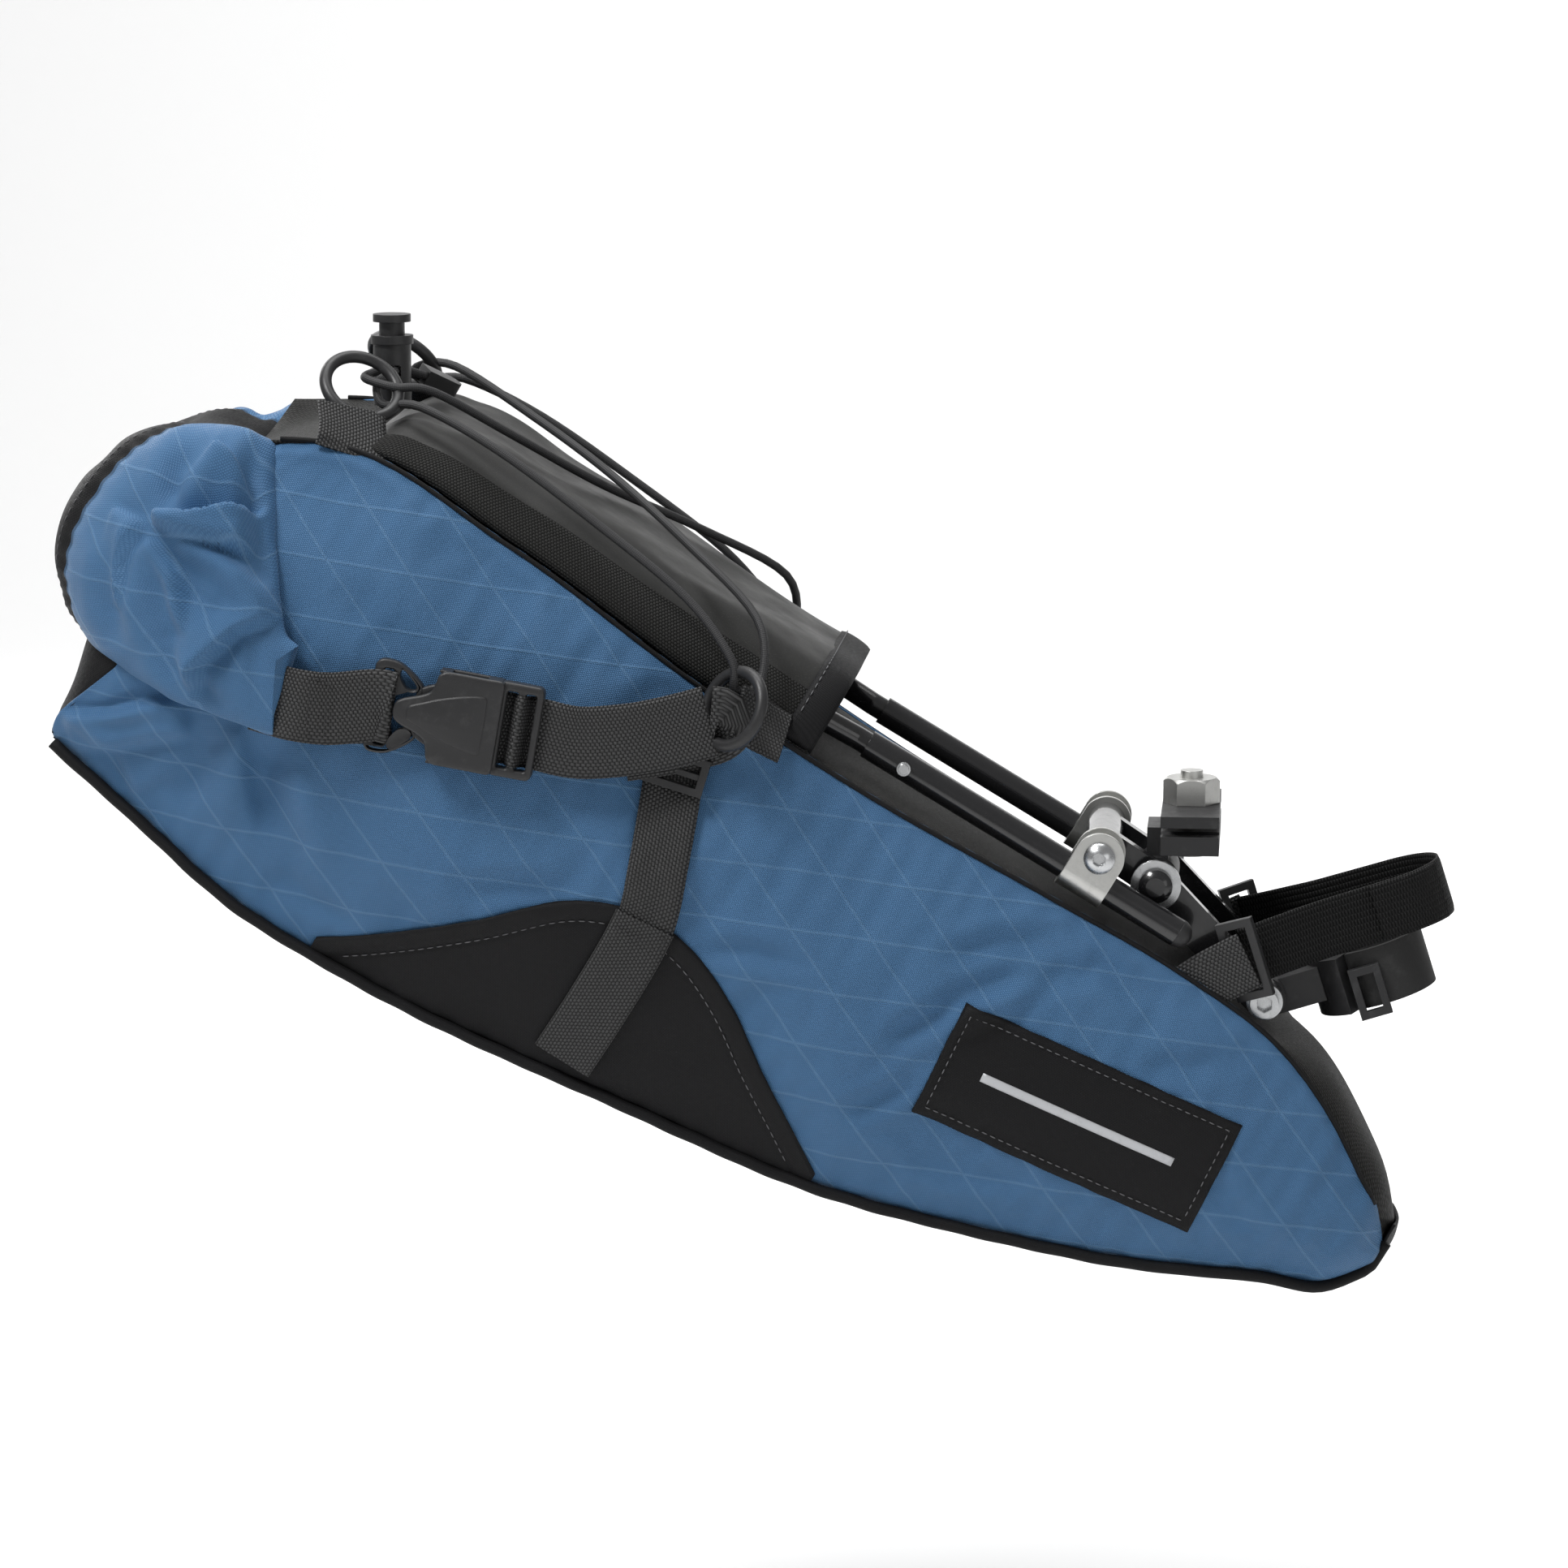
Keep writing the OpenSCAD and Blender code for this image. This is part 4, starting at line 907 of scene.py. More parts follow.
def tail_panel():
    """The black panel across the rear, from the bottom edge up behind the roll."""
    fs = np.linspace(0, 1, 26)
    ws = np.linspace(-1, 1, 61)
    f, w = np.meshgrid(fs, ws, indexing="ij")
    z = -159 + 54 * f
    rim = 431 - 10 * np.clip((z + 150) / 26, 0, 1)
    x = rim + (433 + 12 * f**1.4 - rim) * (1 - w**8)
    y = w * (side_y(431, z) - 0.8)
    x = x + waves(y, z, 8, 1.3, (60, 40, 22)) * (1 - w**8)
    tail = grid("tail_cloth", row(np.stack([x, y, z], -1)), np.stack([y, z], -1) * MM, FINE)
    thicken(tail, 1.0)
    finish_piece(tail, "bag", "black_fabric", "rear_panel")


top_and_bottom()
tail_panel()

# The roll: [x, y, z, half depth, half height] from the middle to the right-hand tip
ROLL_HALF = [
    (430, 0, -86, 35, 37), (430, 24, -86, 36, 37.5), (429, 44, -85, 38, 39), (428, 56, -83, 37, 42),
    (425, 65, -80, 31, 45), (418, 74, -78, 24, 45.5), (408, 81, -83, 16.5, 39), (396, 87, -90, 11, 30),
    (385, 90, -95.5, 8, 22), (376, 91.5, -98, 6, 17), (369, 92, -98, 4.4, 15.5)
]
ROLL_PLEATS = [  # line of (x, z) points, height, width of the high side, width of the low side
    ([(435, -70), (423, -64), (411, -57), (404, -48)], 7.0, 8.0, 7.0),
    ([(400, -65), (411, -67), (424, -71), (434, -73)], 6.5, 11.0, 6.0),
    ([(431, -40), (421, -42), (410, -47)], 4.0, 7.0, 4.0),
    ([(433, -76), (418, -82), (404, -96)], 4.2, 9.0, 6.0),
    ([(438, -75), (436, -90), (428, -104)], 3.6, 7.0, 5.0),
    ([(449, -77), (442, -75), (436, -74)], 2.6, 6.0, 4.0),
    ([(381, -76), (391, -88), (396, -104), (391, -119)], 6.0, 12.0, 6.0),
]
ROLL_DENTS = [
    ([(430, -73), (406, -72), (384, -78)], -4.0, 3.6),
    ([(431, -82), (412, -99), (400, -113)], 2.6, 5.0),
    ([(441, -84), (434, -104), (424, -117)], 2.2, 4.5),
    ([(421, -30), (407, -52), (390, -70)], 3.2, 4.0),
    ([(434, -66), (438, -54), (436, -40)], 2.2, 4.0),
    ([(426, -62), (428, -50), (424, -36)], -1.4, 4.5),
    ([(410, -106), (396, -113), (380, -113)], 2.0, 4.0),
    ([(386, -86), (378, -98), (370, -108)], 2.2, 3.0),
    ([(416, -84), (404, -86), (392, -84)], 1.6, 4.0),
]
BLACK_HALF = 61.0


def roll_top():
    """The rolled and folded mouth: a black middle and two blue ends, gathered forward to the tabs."""
    half = smooth_path(ROLL_HALF, 12)
    path = np.vstack([(half * [1, -1, 1, 1, 1])[:0:-1], half])
    run = unit(np.gradient(path[:, :2], axis=0))
    out = np.stack([run[:, 1], -run[:, 0]], -1)
    sides = 200
    t = 2 * np.pi * np.arange(sides) / sides
    squarish = 0.86
    ct = np.sign(np.cos(t)) * np.abs(np.cos(t))**squarish
    st = np.sign(np.sin(t)) * np.abs(np.sin(t))**squarish
    x = path[:, 0, None] + out[:, 0, None] * path[:, 3, None] * ct
    y = path[:, 1, None] + out[:, 1, None] * path[:, 3, None] * ct
    z = path[:, 2, None] + path[:, 4, None] * st
    tip = np.clip((np.abs(path[:, 1]) - 86) / 6, 0, 1)[:, None]**2
    x = x + tip * (0.5 * np.clip(z + 102, -12, 12) - 0.45 * np.maximum(z + 90, 0))
    left = np.clip((20 - path[:, 1]) / 70, 0, 1)[:, None]
    z = z - left * (2 + 9 * np.clip((z + 80) / 40, 0, 1))
    outward = unit(np.stack([out[:, 0, None] * ct, out[:, 1, None] * ct, 0.9 * st + 0 * x], -1))
    relief = np.zeros(x.shape)
    for line, height, wide, narrow in ROLL_PLEATS:
        relief += 1.45 * pleat(x, z, line, height, wide, narrow, 1.0)
    for line, depth, width in ROLL_DENTS:
        relief += 1.3 * dent(x, z, line, depth, width)
    facing = np.clip((outward[..., 1] * np.sign(y) + 0.15) / 0.5, 0, 1)
    facing = facing * np.clip((np.abs(y) - 52) / 14, 0, 1)
    relief = relief * facing * (1 - 0.85 * tip)
    relief += waves(y * 1.3 + 3 * x, z, 21, 0.9, (80, 46, 27)) * (1 - tip)
    length = lengths_along(path[:, :2])
    middle = np.argmin(np.abs(path[:, 1]))
    s = length - length[middle]
    seam = np.exp(-((np.abs(path[:, 1]) - BLACK_HALF) / 1.8)**2)[:, None]
    relief -= seam * (1.3 + 0.35 * np.sin(t * 34)[None, :])
    wraps = np.sin(3 * t[None, :] + 0.012 * s[:, None])**8
    relief -= 1.6 * wraps * np.clip((60 - np.abs(path[:, 1])) / 10, 0, 1)[:, None]
    points = np.stack([x, y, z], -1) + outward * relief[..., None]
    mean_radius = 40
    uv = [[(x[i, j % sides] * MM, z[i, j % sides] * MM) if abs(path[i, 1]) > BLACK_HALF
           else (s[i] * MM, 2 * np.pi * j / sides * mean_radius * MM)
           for j in range(sides + 1)] for i in range(len(path))]
    roll = grid("roll_cloth", row(points), uv, BLUE, closed=True, caps=True)
    roll.data.materials.append(FINE)
    black = np.abs(path[:, 1]) < BLACK_HALF
    for k, face in enumerate(roll.data.polygons):
        i = min(k // sides, len(path) - 2)
        face.material_index = 1 if black[i] and black[i + 1] else 0
    finish_piece(roll, "bag", "blue_fabric", "roll_top")
    seams = []
    for side in (1, -1):
        i = int(np.argmin(np.abs(path[:, 1] - side * (BLACK_HALF - 3.4))))
        ring, lift = row(points[i]), row(outward[i])
        start = int(0.30 * sides)
        order = np.arange(start - sides, start - int(0.10 * sides))
        seams.append(stitches("seam", ring[order], lift[order], THREAD, 3.4, 2.3, 0.45))
    finish_piece(join("roll_stitches", seams), "bag", "black_fabric")


roll_top()


# ---------------------------------------------------------------- trim on the sides
def lower_panel(side, name, node):
    """The black wedge panel at the bottom edge, with a folded hem and a row of stitches."""
    front, rear = LOWER_PANEL_TOP[0][0], LOWER_PANEL_TOP[-1][0]
    xs = np.linspace(front, rear, 150)
    fs = np.linspace(0, 1, 44)
    x = np.repeat(xs[:, None], len(fs), 1)
    top = curve(LOWER_PANEL_TOP, xs)[:, None]
    z = top + (edge_z(x) + 0.5 - top) * fs[None, :]
    rim_x = np.linspace(front, rear, 60)
    outline = np.stack([rim_x, curve(LOWER_PANEL_TOP, rim_x)], -1)
    d = np.abs(along_line(x, z, outline)[0])
    hem = 0.75 * (1 / (1 + np.exp((d - 6.2) * 2.2))) - 0.9 * np.exp(-(d / 0.7)**2)
    sewn = -0.35 * np.exp(-((d - 7.6) / 0.8)**2)
    lift = 1.15 + hem + sewn + 0.25 * waves(x, z, 31, 1.0, (40, 26))
    panel = grid(name, on_side(x, z, side, lift), np.stack([x, z], -1) * MM, FINE, flip=side < 0)
    thicken(panel, 0.9)
    finish_piece(panel, "bag", "black_fabric", node)
    run = np.gradient(outline, axis=0)
    from_hem = 7.4
    line = outline + unit(np.stack([run[:, 1], -run[:, 0]], -1)) * from_hem
    line = line[line[:, 1] > edge_z(line[:, 0]) + 3]
    path = on_side(line[:, 0], line[:, 1], side, 1.15)
    sewing = stitches(name + "_stitches", path, [0, -side, 0], THREAD)
    finish_piece(sewing, "bag", "black_fabric")


def bindings():
    """Bound edges along the bottom and round the nose, both sides as one piece."""
    made = []
    for side in (1, -1):
        xs = np.linspace(BAG_FRONT + 1, BAG_REAR - 3, 190)
        nose_z = np.linspace(float(seam_z(BAG_FRONT)) + 1, float(edge_z(BAG_FRONT)), 8)[:-1]
        nose = np.stack([np.full(7, BAG_FRONT - 0.5), side * np.full(7, 15.6), nose_z], -1)
        low = np.stack([xs, side * (edge_y(xs) + 0.8), edge_z(xs) - 1.0], -1)
        low[:, 1] += side * 0.25 * np.sin(xs * 0.21 + 2 * np.sin(xs * 0.05))
        low[:, 2] += 0.12 * np.sin(xs * 0.34)
        line = np.vstack([nose, low])
        made.append(tube("binding", row(line), 2.1, FINE, 12))
        high = np.stack([xs, side * (seam_y(xs) - 0.8), seam_z(xs) - 0.7], -1)
        made.append(tube("piping", row(high[4:-6]), 0.9, FINE, 8))
    finish_piece(join("bound_edges", made), "bag", "black_fabric", "edge_binding")


def box_line(steps):
    """A walk once round a box from -1 to 1."""
    corners = [(-1, -1), (1, -1), (1, 1), (-1, 1), (-1, -1)]
    return np.vstack([np.linspace(p, q, steps) for p, q in zip(corners[:-1], corners[1:])])


def on_label(a, b):
    """A point of the label's own axes (forward, up) as (x, z)."""
    c, s = math.cos(LABEL["turn"]), math.sin(LABEL["turn"])
    return LABEL["x"] + a * c + b * s, LABEL["z"] - a * s + b * c


def label():
    """The sewn label, left plain but for a reflective stripe."""
    half_a, half_b = LABEL["length"] / 2, LABEL["height"] / 2
    a, b = np.meshgrid(np.linspace(-half_a, half_a, 70), np.linspace(half_b, -half_b, 32), indexing="ij")
    x, z = on_label(a, b)
    rim = np.minimum(half_a - np.abs(a), half_b - np.abs(b))
    lift = 1.15 - 0.45 * np.exp(-rim / 0.8) - 0.3 * np.exp(-((rim - 3.4) / 0.9)**2)
    lift += 0.35 * np.exp(-rim / 5) * np.sin(a * 0.35 + b * 0.2)
    patch = grid("label_cloth", on_side(x, z, 1, lift), np.stack([a, b], -1) * MM, FINE)
    thicken(patch, 0.9)
    finish_piece(patch, "bag", "black_fabric", "label_patch")
    sewn_in = 3.4
    line = box_line(20) * [half_a - sewn_in, half_b - sewn_in]
    x, z = on_label(line[:, 0], line[:, 1])
    sewing = stitches("label_stitches", on_side(x, z, 1, 1.25), [0, -1, 0], THREAD, 3.1, 2.0, 0.45)
    finish_piece(sewing, "bag", "black_fabric")
    a, b = np.meshgrid(np.linspace(-36, 36, 40), np.linspace(1.6, -1.6, 5), indexing="ij")
    x, z = on_label(a, b)
    stripe = grid("label_stripe", on_side(x, z, 1, 1.32), np.stack([a, b], -1) * MM, REFLECT)
    thicken(stripe, 0.25)
    finish_piece(stripe, "bag", "black_fabric")


lower_panel(1, "lower_cloth_right", "lower_panel_right")
lower_panel(-1, "lower_cloth_left", "lower_panel_left")
bindings()
label()


# ---------------------------------------------------------------- sleeve over the rack's loop
def sleeve_points(xs, ws, gap):
    x = np.repeat(np.asarray(xs, float)[:, None], len(ws), 1)
    w = np.repeat(np.asarray(ws, float)[None, :], len(xs), 0)
    arch = np.maximum(1 - np.abs(w)**4, 0)**0.6
    low = seam_z(x) + 0.5
    high = curve(SLEEVE_CREST, x) + gap
    y = w * (seam_y(x) - 3 + gap)
    z = low + (high - low) * arch
    return x, y, z, w


def over_tubes(y):
    """How far the sleeve's top rises over the two tubes and sinks between them, in millimetres."""
    return 0.9 * np.exp(-((np.abs(y) - 43) / 7)**2) - 1.3 * np.exp(-(y / 26)**2)


def crowded_ends(count):
    """Steps from -1 to 1 that lie closer together at both ends."""
    t = np.linspace(-1, 1, count)
    return np.sign(t) * (1 - (1 - np.abs(t))**1.35)


def rack_sleeve():
    """The sleeve's coated top, its coarse sides, and the bound mouth with its stitches."""
    xs = np.concatenate([np.linspace(209, 372, 90), np.linspace(374, 392, 16)])
    ws = crowded_ends(91)
    x, y, z, w = sleeve_points(xs, ws, 0)
    sag = waves(x, y, 41, 1.1, (85, 48, 30)) * (1 - w**6)
    z = z + sag + over_tubes(y)
    girth = np.cumsum(np.hypot(np.diff(y, axis=1), np.diff(z, axis=1)), axis=1)
    uv = np.stack([x, np.pad(girth, ((0, 0), (1, 0)))], -1) * MM
    sleeve = grid("sleeve_cloth", row(np.stack([x, y, z], -1)), uv, COATED, flip=True)
    sleeve.data.materials.append(COARSE)
    per_row = len(ws) - 1
    for k, face in enumerate(sleeve.data.polygons):
        face.material_index = 1 if abs(ws[k % per_row] + ws[k % per_row + 1]) / 2 > 0.87 else 0
    thicken(sleeve, 1.2)
    finish_piece(sleeve, "bag", "coated_fabric", "rack_sleeve")
    ws = crowded_ends(121)
    mouth, hem_width = 207, 12
    x, y, z, _ = sleeve_points(np.linspace(mouth, mouth + hem_width, 9), ws, 0.8)
    puff = 0.9 * np.sin(np.pi * np.clip((x - mouth) / hem_width, 0, 1))**0.5
    points = row(np.stack([x, y * (1 + puff / 90), z + puff + over_tubes(y)], -1))
    hem = grid("sleeve_hem", points, np.stack([x, y], -1) * MM, FINE, flip=True)
    thicken(hem, 1.4)
    finish_piece(hem, "bag", "black_fabric", "sleeve_binding")
    x, y, z, w = sleeve_points([217.2, 217.3], ws[6:-6], 1.5)
    out = np.stack([0 * y[0], np.sign(y[0]) * np.abs(w[0])**3, (1 - np.abs(w[0])**3) + 0.05], -1)
    z = z + 0.3 + over_tubes(y)
    path = row(np.stack([x[0], y[0], z[0]], -1))
    sewing = stitches("sleeve_stitches", path, unit(row(out)), THREAD)
    finish_piece(sewing, "bag", "black_fabric")


rack_sleeve()


# ---------------------------------------------------------------- webbing
def side_ribbon(name, line, width, lift, side, thick=1.5):
    """Webbing that lies on a side panel along a line of (x, z) points."""
    p = smooth_path(line, 10)
    run = unit(np.gradient(p, axis=0))
    normal = np.stack([run[:, 1], -run[:, 0]], -1)
    ws = np.linspace(-1, 1, 14)
    x = p[:, 0, None] + normal[:, 0, None] * ws * width / 2
    z = p[:, 1, None] + normal[:, 1, None] * ws * width / 2
    base = HEIGHT[side](x, z, side)
    flat = base.mean(1, keepdims=True) * 0.75 + base * 0.25
    flat = np.maximum(flat, base + 0.15)
    y_low = flat + lift
    y_high = y_low + thick * (1 - 0.5 * np.abs(ws)**10)
    pts = np.concatenate([np.stack([x, side * y_high, z], -1),
                          np.stack([x, side * y_low, z], -1)[:, ::-1]], 1)
    along = lengths_along(p)
    v = np.concatenate([ws, ws[::-1], ws[:1]]) * width / 2
    uv = [[(a * MM, b * MM) for b in v] for a in along]
    return grid(name, row(pts), uv, WEBBING, closed=True, caps=True, flip=side < 0)


def box_stitch(name, centre, ahead, across, side, half_a, half_b):
    """A sewn box on webbing. The centre is in metres, half_a and half_b in millimetres."""
    c, a, b = (np.asarray(v, float) for v in (centre, ahead, across))
    line = box_line(8)
    path = c + line[:, :1] * half_a * MM * a + line[:, 1:] * half_b * MM * b
    return stitches(name, path, [0, -side, 0], DARK_THREAD, 2.4, 1.7, 0.4)


def compression_straps():
    made, sewn = [], []
    for side in (1, -1):
        line = [(246, -50), (241, -61), (236, -73), (231, -86), (226.6, -98), (224.4, -108), (224, -122),
                (224, -142), (224.6, -162)]
        made.append(side_ribbon("strap", line, 20, 0.9, side))
        lower = [(225, -105), (224.2, -116), (224, -128), (224.2, -146), (224.8, -165)]
        made.append(side_ribbon("strap", lower, 21.5, 1.5, side))
        spot = on_side(224.6, -109.0, side, 3.4)
        sewn.append(box_stitch("sewn", spot, unit(row([0, 0, 1])), unit(row([1, 0, 0])), side, 2.6, 8.6))
    finish_piece(join("compression_webbing", made), "bag", "webbing", "compression_straps")
    finish_piece(join("compression_stitches", sewn), "bag", "webbing")


BUCKLE_AT = np.array([315.0, 88.0, -77.0])
BUCKLE_TURN = math.radians(21)


def at_buckle(points, side=1, under=1):
    """Buckle axes (a along the strap, b across it, c off the bag) to metres. under = -1 turns b over."""
    p = np.asarray(points, float)
    a, b, c = p[..., 0], p[..., 1] * under, p[..., 2]
    co, si = math.cos(BUCKLE_TURN), math.sin(BUCKLE_TURN)
    x = BUCKLE_AT[0] - (a * co - b * si)
    z = BUCKLE_AT[2] + (a * si + b * co)
    return row(np.stack([x, side * (BUCKLE_AT[1] + c), z], -1))


WEBBING_WIDTH, FOLDED_WIDTH = 24.4, 24.0
WEBBING_THICK = 1.5


def strap_between(name, line, width, thick, side, cuts=8, lay=0.0):
    """Webbing through (x, y, z) points whose width stays square to it as seen from the side."""
    p = smooth_path(line, cuts)
    run = unit(np.gradient(p[:, [0, 2]], axis=0))
    across = np.stack([run[:, 1], np.full(len(p), lay), -run[:, 0]], -1)
    p = p * [1, side, 1]
    across = across * [1, side, 1]
    return ribbon(name, row(p), row(across), width, thick, WEBBING)


def closure_webbing(side, tag):
    """Webbing between the buckle and the ring: bends over the ladder bar and back through the ring."""
    ladder = [(14.5, 0, 1.2), (18.6, 0, -1.8), (21.6, 0, 3.6), (24.8, 0, -1.6), (29.5, 0, -0.4)]
    to_ring = [(275, 86.6, -62), (261, 84, -52.5), (250, 80.5, -43), (241.5, 77.5, -34.5)]
    outer = strap_between("strap", [*rack(at_buckle(ladder)), *to_ring], WEBBING_WIDTH, WEBBING_THICK, side)
    fold = [(241.5, 77.5, -34.5), (238.6, 77.2, -33.4), (240.4, 74.0, -38), (250, 76, -47), (262, 80, -56.5)]
    inner = strap_between("strap", fold, FOLDED_WIDTH, WEBBING_THICK, side)
    strap = join("closure_webbing_" + tag, [outer, inner])
    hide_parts("closure_strap_" + tag)
    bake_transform(strap)


def closure_tabs():
    """The webbing sewn to the roll's tips, looped round the buckle's bar."""
    made, sewn = [], []
    for side in (1, -1):
        bar = rack(at_buckle([(-26.5, 0, 2.4), (-21.8, 0, 2.6), (-21.2, 0, 0.2), (-22.4, 0, -2.2)]))
        line = [(376, 90.5, -104.5), (370, 92.5, -102.5), (362, 95.0, -99.5), (352, 93.4, -95), *bar]
        made.append(strap_between("strap", line, WEBBING_WIDTH, WEBBING_THICK, side))
        back = [bar[-1], (346, 88.4, -92), (358, 91.2, -98.5)]
        made.append(strap_between("strap", back, FOLDED_WIDTH, WEBBING_THICK, side))
        centre = row([355.5, side * 95.4, -96.8])
        ahead, across = unit(row([-0.9, 0, 0.42])), unit(row([0.42, 0, 0.9]))
        sewn.append(box_stitch("sewn", centre, ahead, across, side, 3.0, 10.0))
    finish_piece(join("closure_tab_webbing", made), "bag", "webbing", "closure_tabs")
    finish_piece(join("closure_tab_stitches", sewn), "bag", "webbing")


def ring_tabs():
    """Tabs that hold the four rings."""
    made = []
    for side in (1, -1):
        front = [(217, 63.4, -28.9), (221, 64.8, -28.9), (226, 67.2, -28.6), (231.5, 71.0, -27.5),
                 (235.5, 75, -27)]
        made.append(strap_between("tab", front, 19, 1.4, side, 6, 0.9))
        rear = [(391, 71.0, -22), (392, 69.6, -19), (394, 66.5, -16), (397, 62.3, -12.8), (399.5, 59.0, -10)]
        p = smooth_path(rear, 6)
        across = np.tile([1.0, 0.1 * side, 0.05], (len(p), 1))
        made.append(ribbon("tab", row(p * [1, side, 1]), row(across), WEBBING_WIDTH, WEBBING_THICK, WEBBING))
    finish_piece(join("ring_tab_webbing", made), "bag", "webbing", "ring_tabs")


def both_halves(half):
    """An outline from its upper half: the same points again below the buckle's middle line."""
    return [*half, *((a, -b) for a, b in half[::-1])]


def buckle_male(side, tag):
    """The fork: a slotted bar, two arched arms with open windows, and the middle guide."""
    def place(p):
        return at_buckle(p, side)
    outline = both_halves([(-28.6, 13.5), (-27.2, 15.6), (-24, 16), (-20.5, 15.4), (-16.5, 13.2),
                           (-13.2, 10.6), (-11.6, 8.6), (-11.4, 4.6), (-13.2, 3.0)])
    slot = rounded(-25.6, -12.9, -21.6, 12.9, 1.2)
    window = [(-19.8, 12.9), (-15.6, 10.3), (-13.9, 7.7), (-17.4, 7.6)]
    windows = [window, [(a, -b) for a, b in window[::-1]]]
    frame_part = plate("fork", outline, [slot, *windows], -2.1, 2.1, place, BUCKLE, 0.8)
    guide = plate("guide", rounded(-14.5, -1.6, 11, 1.6, 1.0), [], -1.5, 1.5, place, BUCKLE, 0.5)
    fork = join("buckle_fork_" + tag, [frame_part, guide])
    finish_piece(fork, "bag", "buckle_plastic", "buckle_male_" + tag)


def buckle_prong(side, under, name, body, node):
    """One spring prong with its thumb pad."""
    outline = [(-13.4, 4.8), (-11, 4.6), (-5, 8.4), (7.6, 9.4), (7.9, 10.2), (7.7, 12.7), (6.6, 13.5),
               (1.4, 14.7), (-0.6, 14.8), (-1.4, 14.0), (-1.6, 12.4), (-6, 11.2), (-12.2, 8.4), (-13.6, 6.6)]
    hole = [(0.4, 12.9), (4.6, 12.1), (4.8, 11.2), (0.6, 11.6)]
    prong = plate(name, outline, [hole], -1.9, 1.9, lambda p: at_buckle(p, side, under), BUCKLE, 0.6)
    finish_piece(prong, body, "buckle_plastic", node)


def buckle_female(side, tag):
    """The socket half: round-nosed tongue over the fork, side windows, and the ladder for the strap."""
    def place(p):
        return at_buckle(p, side)
    tongue = [(-20.2, 0), *both_halves([(-19.5, 2.9), (-17, 4.6), (-12, 6.4), (-8.6, 8.4), (-7.4, 11.5),
                                        (-6.8, 14.2), (-4.6, 15.8), (0, 16), (9, 16), (14, 16), (15.4, 15.2),
                                        (15.6, 12)])]
    slots = [rounded(16.6, -13, 20.4, 13, 0.8), rounded(22.8, -13, 26.6, 13, 0.8)]
    parts = [plate("top", tongue, [], 2.4, 4.9, place, BUCKLE, 0.9),
             plate("floor", rounded(-7, -15.9, 15.5, 15.9, 2), [], -4.8, -2.5, place, BUCKLE, 0.6),
             plate("ladder", rounded(13.6, -16, 28.9, 16, 2.2), slots, -2.9, 3.0, place, BUCKLE, 0.9),
             plate("wall", rounded(12.4, -15.8, 15.6, 15.8, 0.6), [], -3.2, 3.2, place, BUCKLE, 0.4)]
    raised = [(-15.4, 0), *both_halves([(-14.8, 2.2), (-11, 3.9), (-5.5, 6.2), (2.5, 8.6), (9.6, 9.8),
                                        (10.6, 8.6)])]
    parts.append(plate("panel", raised, [], 4.3, 5.3, place, BUCKLE, 0.4))
    for s in (1, -1):
        low, high = sorted((s * 15.05, s * 15.95))
        for start, end in ((-6.8, -2.7), (9.4, 14.5)):
            outline = rounded(start, low, end, high, 0.3)
            parts.append(plate("post", outline, [], -3.2, 3.2, place, BUCKLE, 0.25))
    socket = join("buckle_socket_" + tag, parts)
    finish_piece(socket, "female_" + tag, "buckle_plastic", "buckle_female_" + tag)


compression_straps()
closure_tabs()
ring_tabs()
for side_sign, side_name in ((1, "right"), (-1, "left")):
    closure_webbing(side_sign, side_name)
    buckle_male(side_sign, side_name)
    buckle_female(side_sign, side_name)
    for under, place_name in ((1, "upper"), (-1, "lower")):
        buckle_prong(side_sign, under, f"buckle_prong_{place_name}_{side_name}",
                     f"{place_name}_prong_{side_name}", f"prong_{place_name}_{side_name}")

# ---------------------------------------------------------------- elastic cord
BUNGEE_POINTS = [
    (388, 0, 3), (394, 4, 2), (396.5, 8, 1.9), (396.5, 20, 1.9), (397, 30, 1), (398, 38, -2), (392, 44, -6),
    (380, 50, 1), (350, 56, 3), (310, 60, 0), (270, 65, -5), (246, 71, -14),
    (240, 71, -22), (234, 66, -16), (246, 56, 0), (280, 34, 6), (316, 4, 8), (350, -22, 7), (384, -40, 5),
    (396, -44, -3), (392, -50, -7),
    (380, -52, 1), (350, -58, 3), (310, -62, 0), (270, -66, -5), (246, -71, -14),
    (240, -71, -22), (234, -66, -16), (246, -52, 1), (280, -28, 3), (316, 2, 3), (350, 24, 5), (380, 40, 6),
    (392, 44, 1), (402, 41, -2), (402, 30, -1), (400, 20, 0.2), (400, 8, 0.2), (396, 2, 0.5), (390, -4, 1)
]


def bungee():
    radius = 1.5
    cord = tube("elastic_cord", row(smooth_path(BUNGEE_POINTS, 6)), radius, CORD, 14)
    finish_piece(cord, "bag", "cord", "bungee_cord")


bungee()


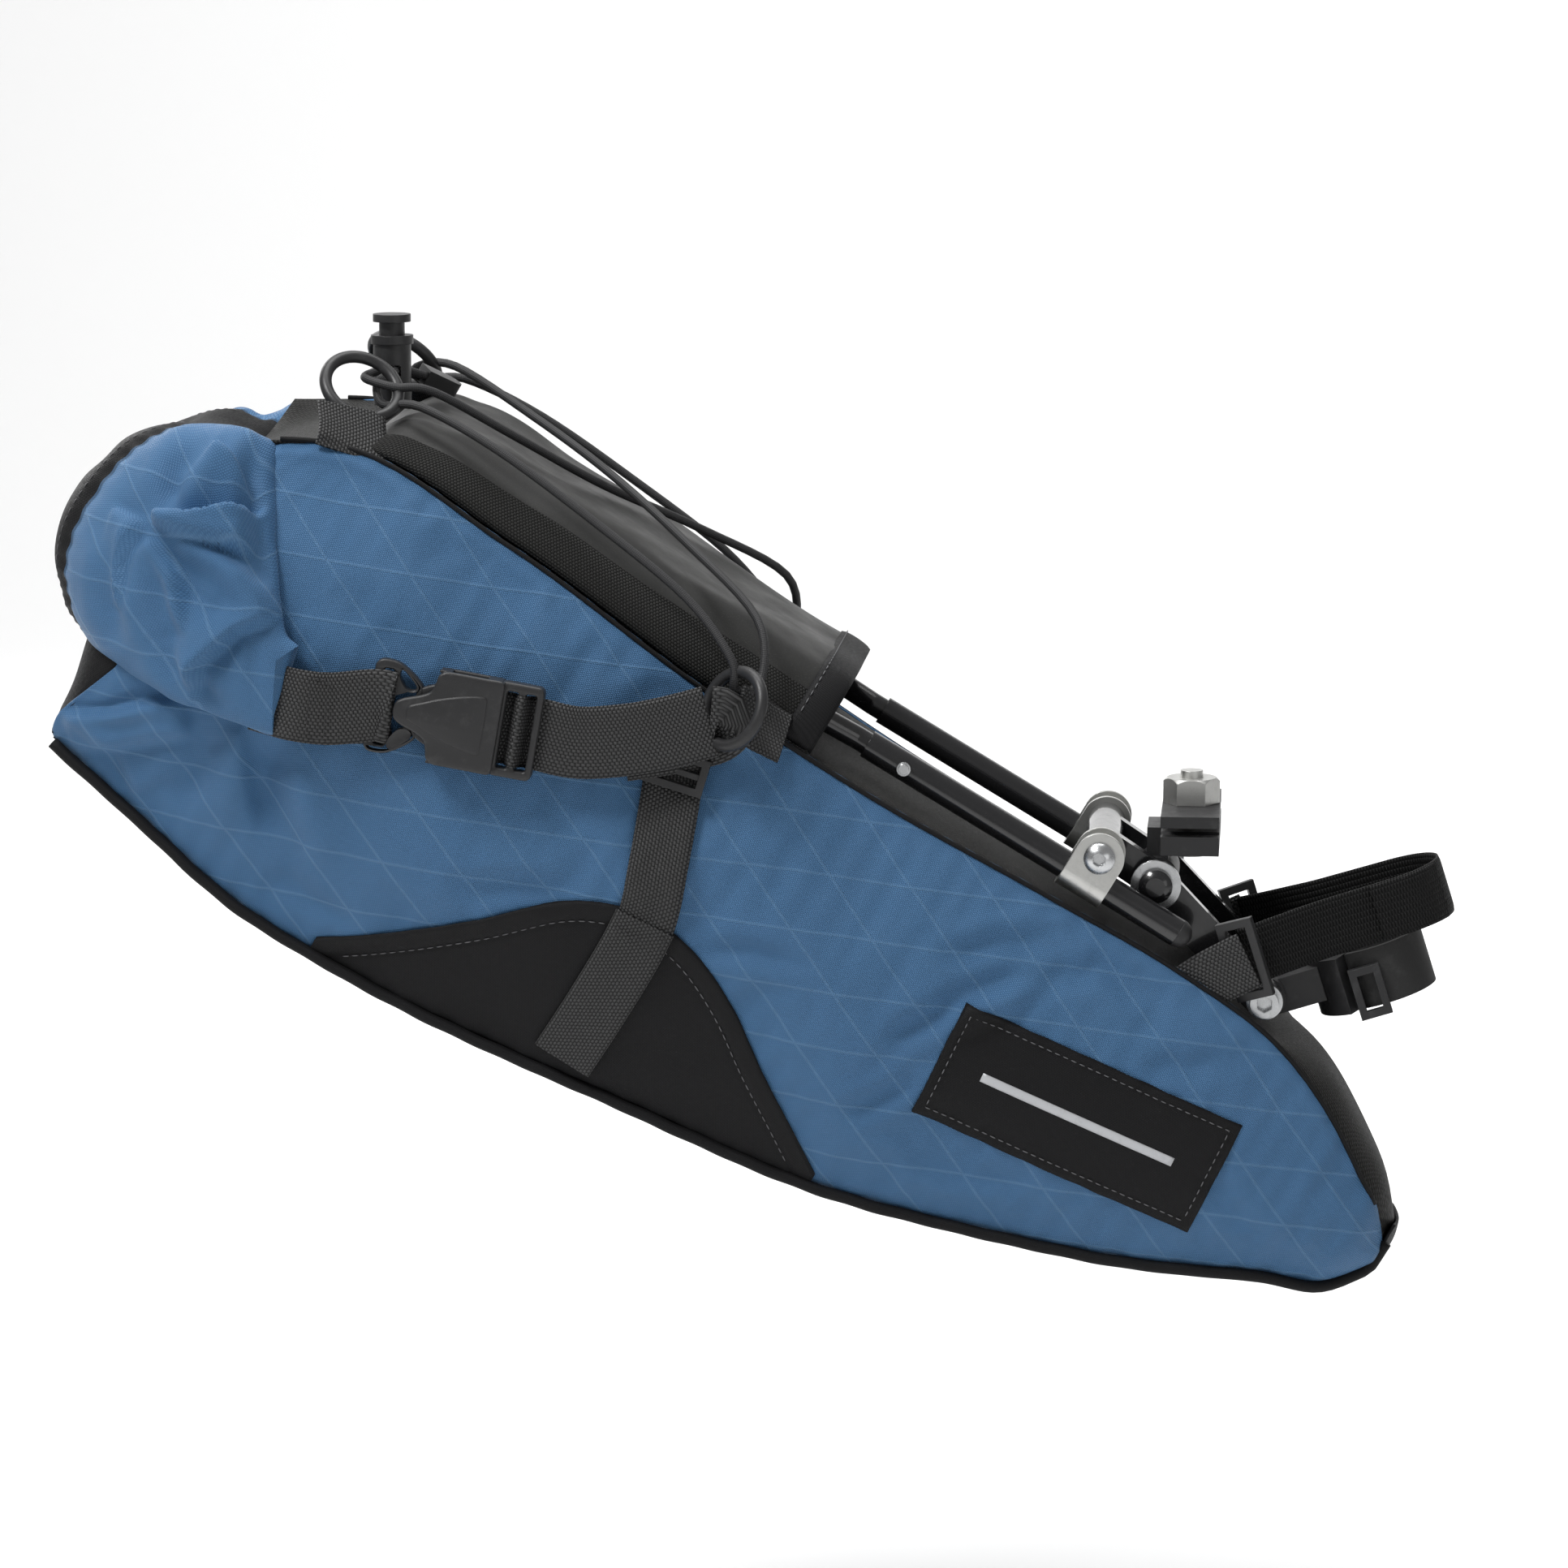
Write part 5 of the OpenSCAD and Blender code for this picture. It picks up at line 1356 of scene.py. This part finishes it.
# ---------------------------------------------------------------- strap round the seatpost head
def post_strap():
    """The hook-and-loop strap: a loop round the post's head, and two tabs sewn to the bag."""
    z, width, bend_radius = 21.5, 20, 18.8
    turn = np.radians(np.linspace(-90, 90, 25))
    bend = np.stack([12 + bend_radius * np.cos(turn), bend_radius * np.sin(turn)], -1)
    rear = [(-41.5, -31.3), (-36, -28.8), (-30, -26.3), (-22, -23.6), (-14, -21.0), (-4, -19.98), (4, -19.4)]
    flat = np.vstack([rear, bend, [(x, -y) for x, y in rear[::-1]]])
    flat = smooth_path(np.column_stack([flat, np.full(len(flat), z)]), 3)
    up = post([0, 0, 1])
    loop = ribbon("post_loop", post(flat), up, width, 1.4, HOOK)
    lap = smooth_path([(6, -21.0, z), (12, -20.4, z), (19, -18.9, z), (25, -15.4, z), (29, -10.6, z)], 6)
    overlap = ribbon("lap", post(lap), up, width - 0.6, 1.4, HOOK)
    join("post_loop", [loop, overlap])
    finish_piece(loop, "rack", "webbing", "post_strap")
    made = []
    for s in (-1, 1):
        tab = smooth_path([(-39.5, s * 37.0, z), (-46, s * 37.4, z - 1), (-56, s * 38.6, z - 3),
                           (-70, s * 39.4, z - 8), (-82, s * 40, z - 14)], 6)
        made.append(ribbon("tab", post(tab), up, width, WEBBING_THICK, WEBBING))
    finish_piece(join("post_strap_tabs", made), "bag", "webbing")


post_strap()

# ---------------------------------------------------------------- finishes of the CAD nodes that stay
FINISHES = {
    PAINT: ("rack_loop", "rack_leg_right", "rack_leg_left", "cross_bar", "pivot_bolt", "brace_arms"),
    CHROME: ("snap_button_right", "snap_button_left", "clip_bolts", "pivot_washers", "front_bolt"),
    ALLOY: ("tube_clips", "clip_spacers", "lock_nuts", "clamp_stud", "clamp_nut"),
    CLAMP: ("leg_end_caps", "seatpost_cradle", "rail_clamp_base", "rail_clamp_jaw", "collar_ring"),
    RUBBER: ("cradle_pad", "post_collar"),
    BUCKLE: ("front_rings", "rear_rings", "ladder_locks", "cord_lock", "cord_lock_plunger", "cord_end_clip",
             "post_strap_rings"),
    BOARD: ("closure_stiffener", "base_stiffener"),
}
for finish, names in FINISHES.items():
    for node_name in names:
        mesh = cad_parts[node_name].data
        if not mesh.materials:
            mesh.materials.append(finish)
        for index in range(len(mesh.materials)):
            mesh.materials[index] = finish
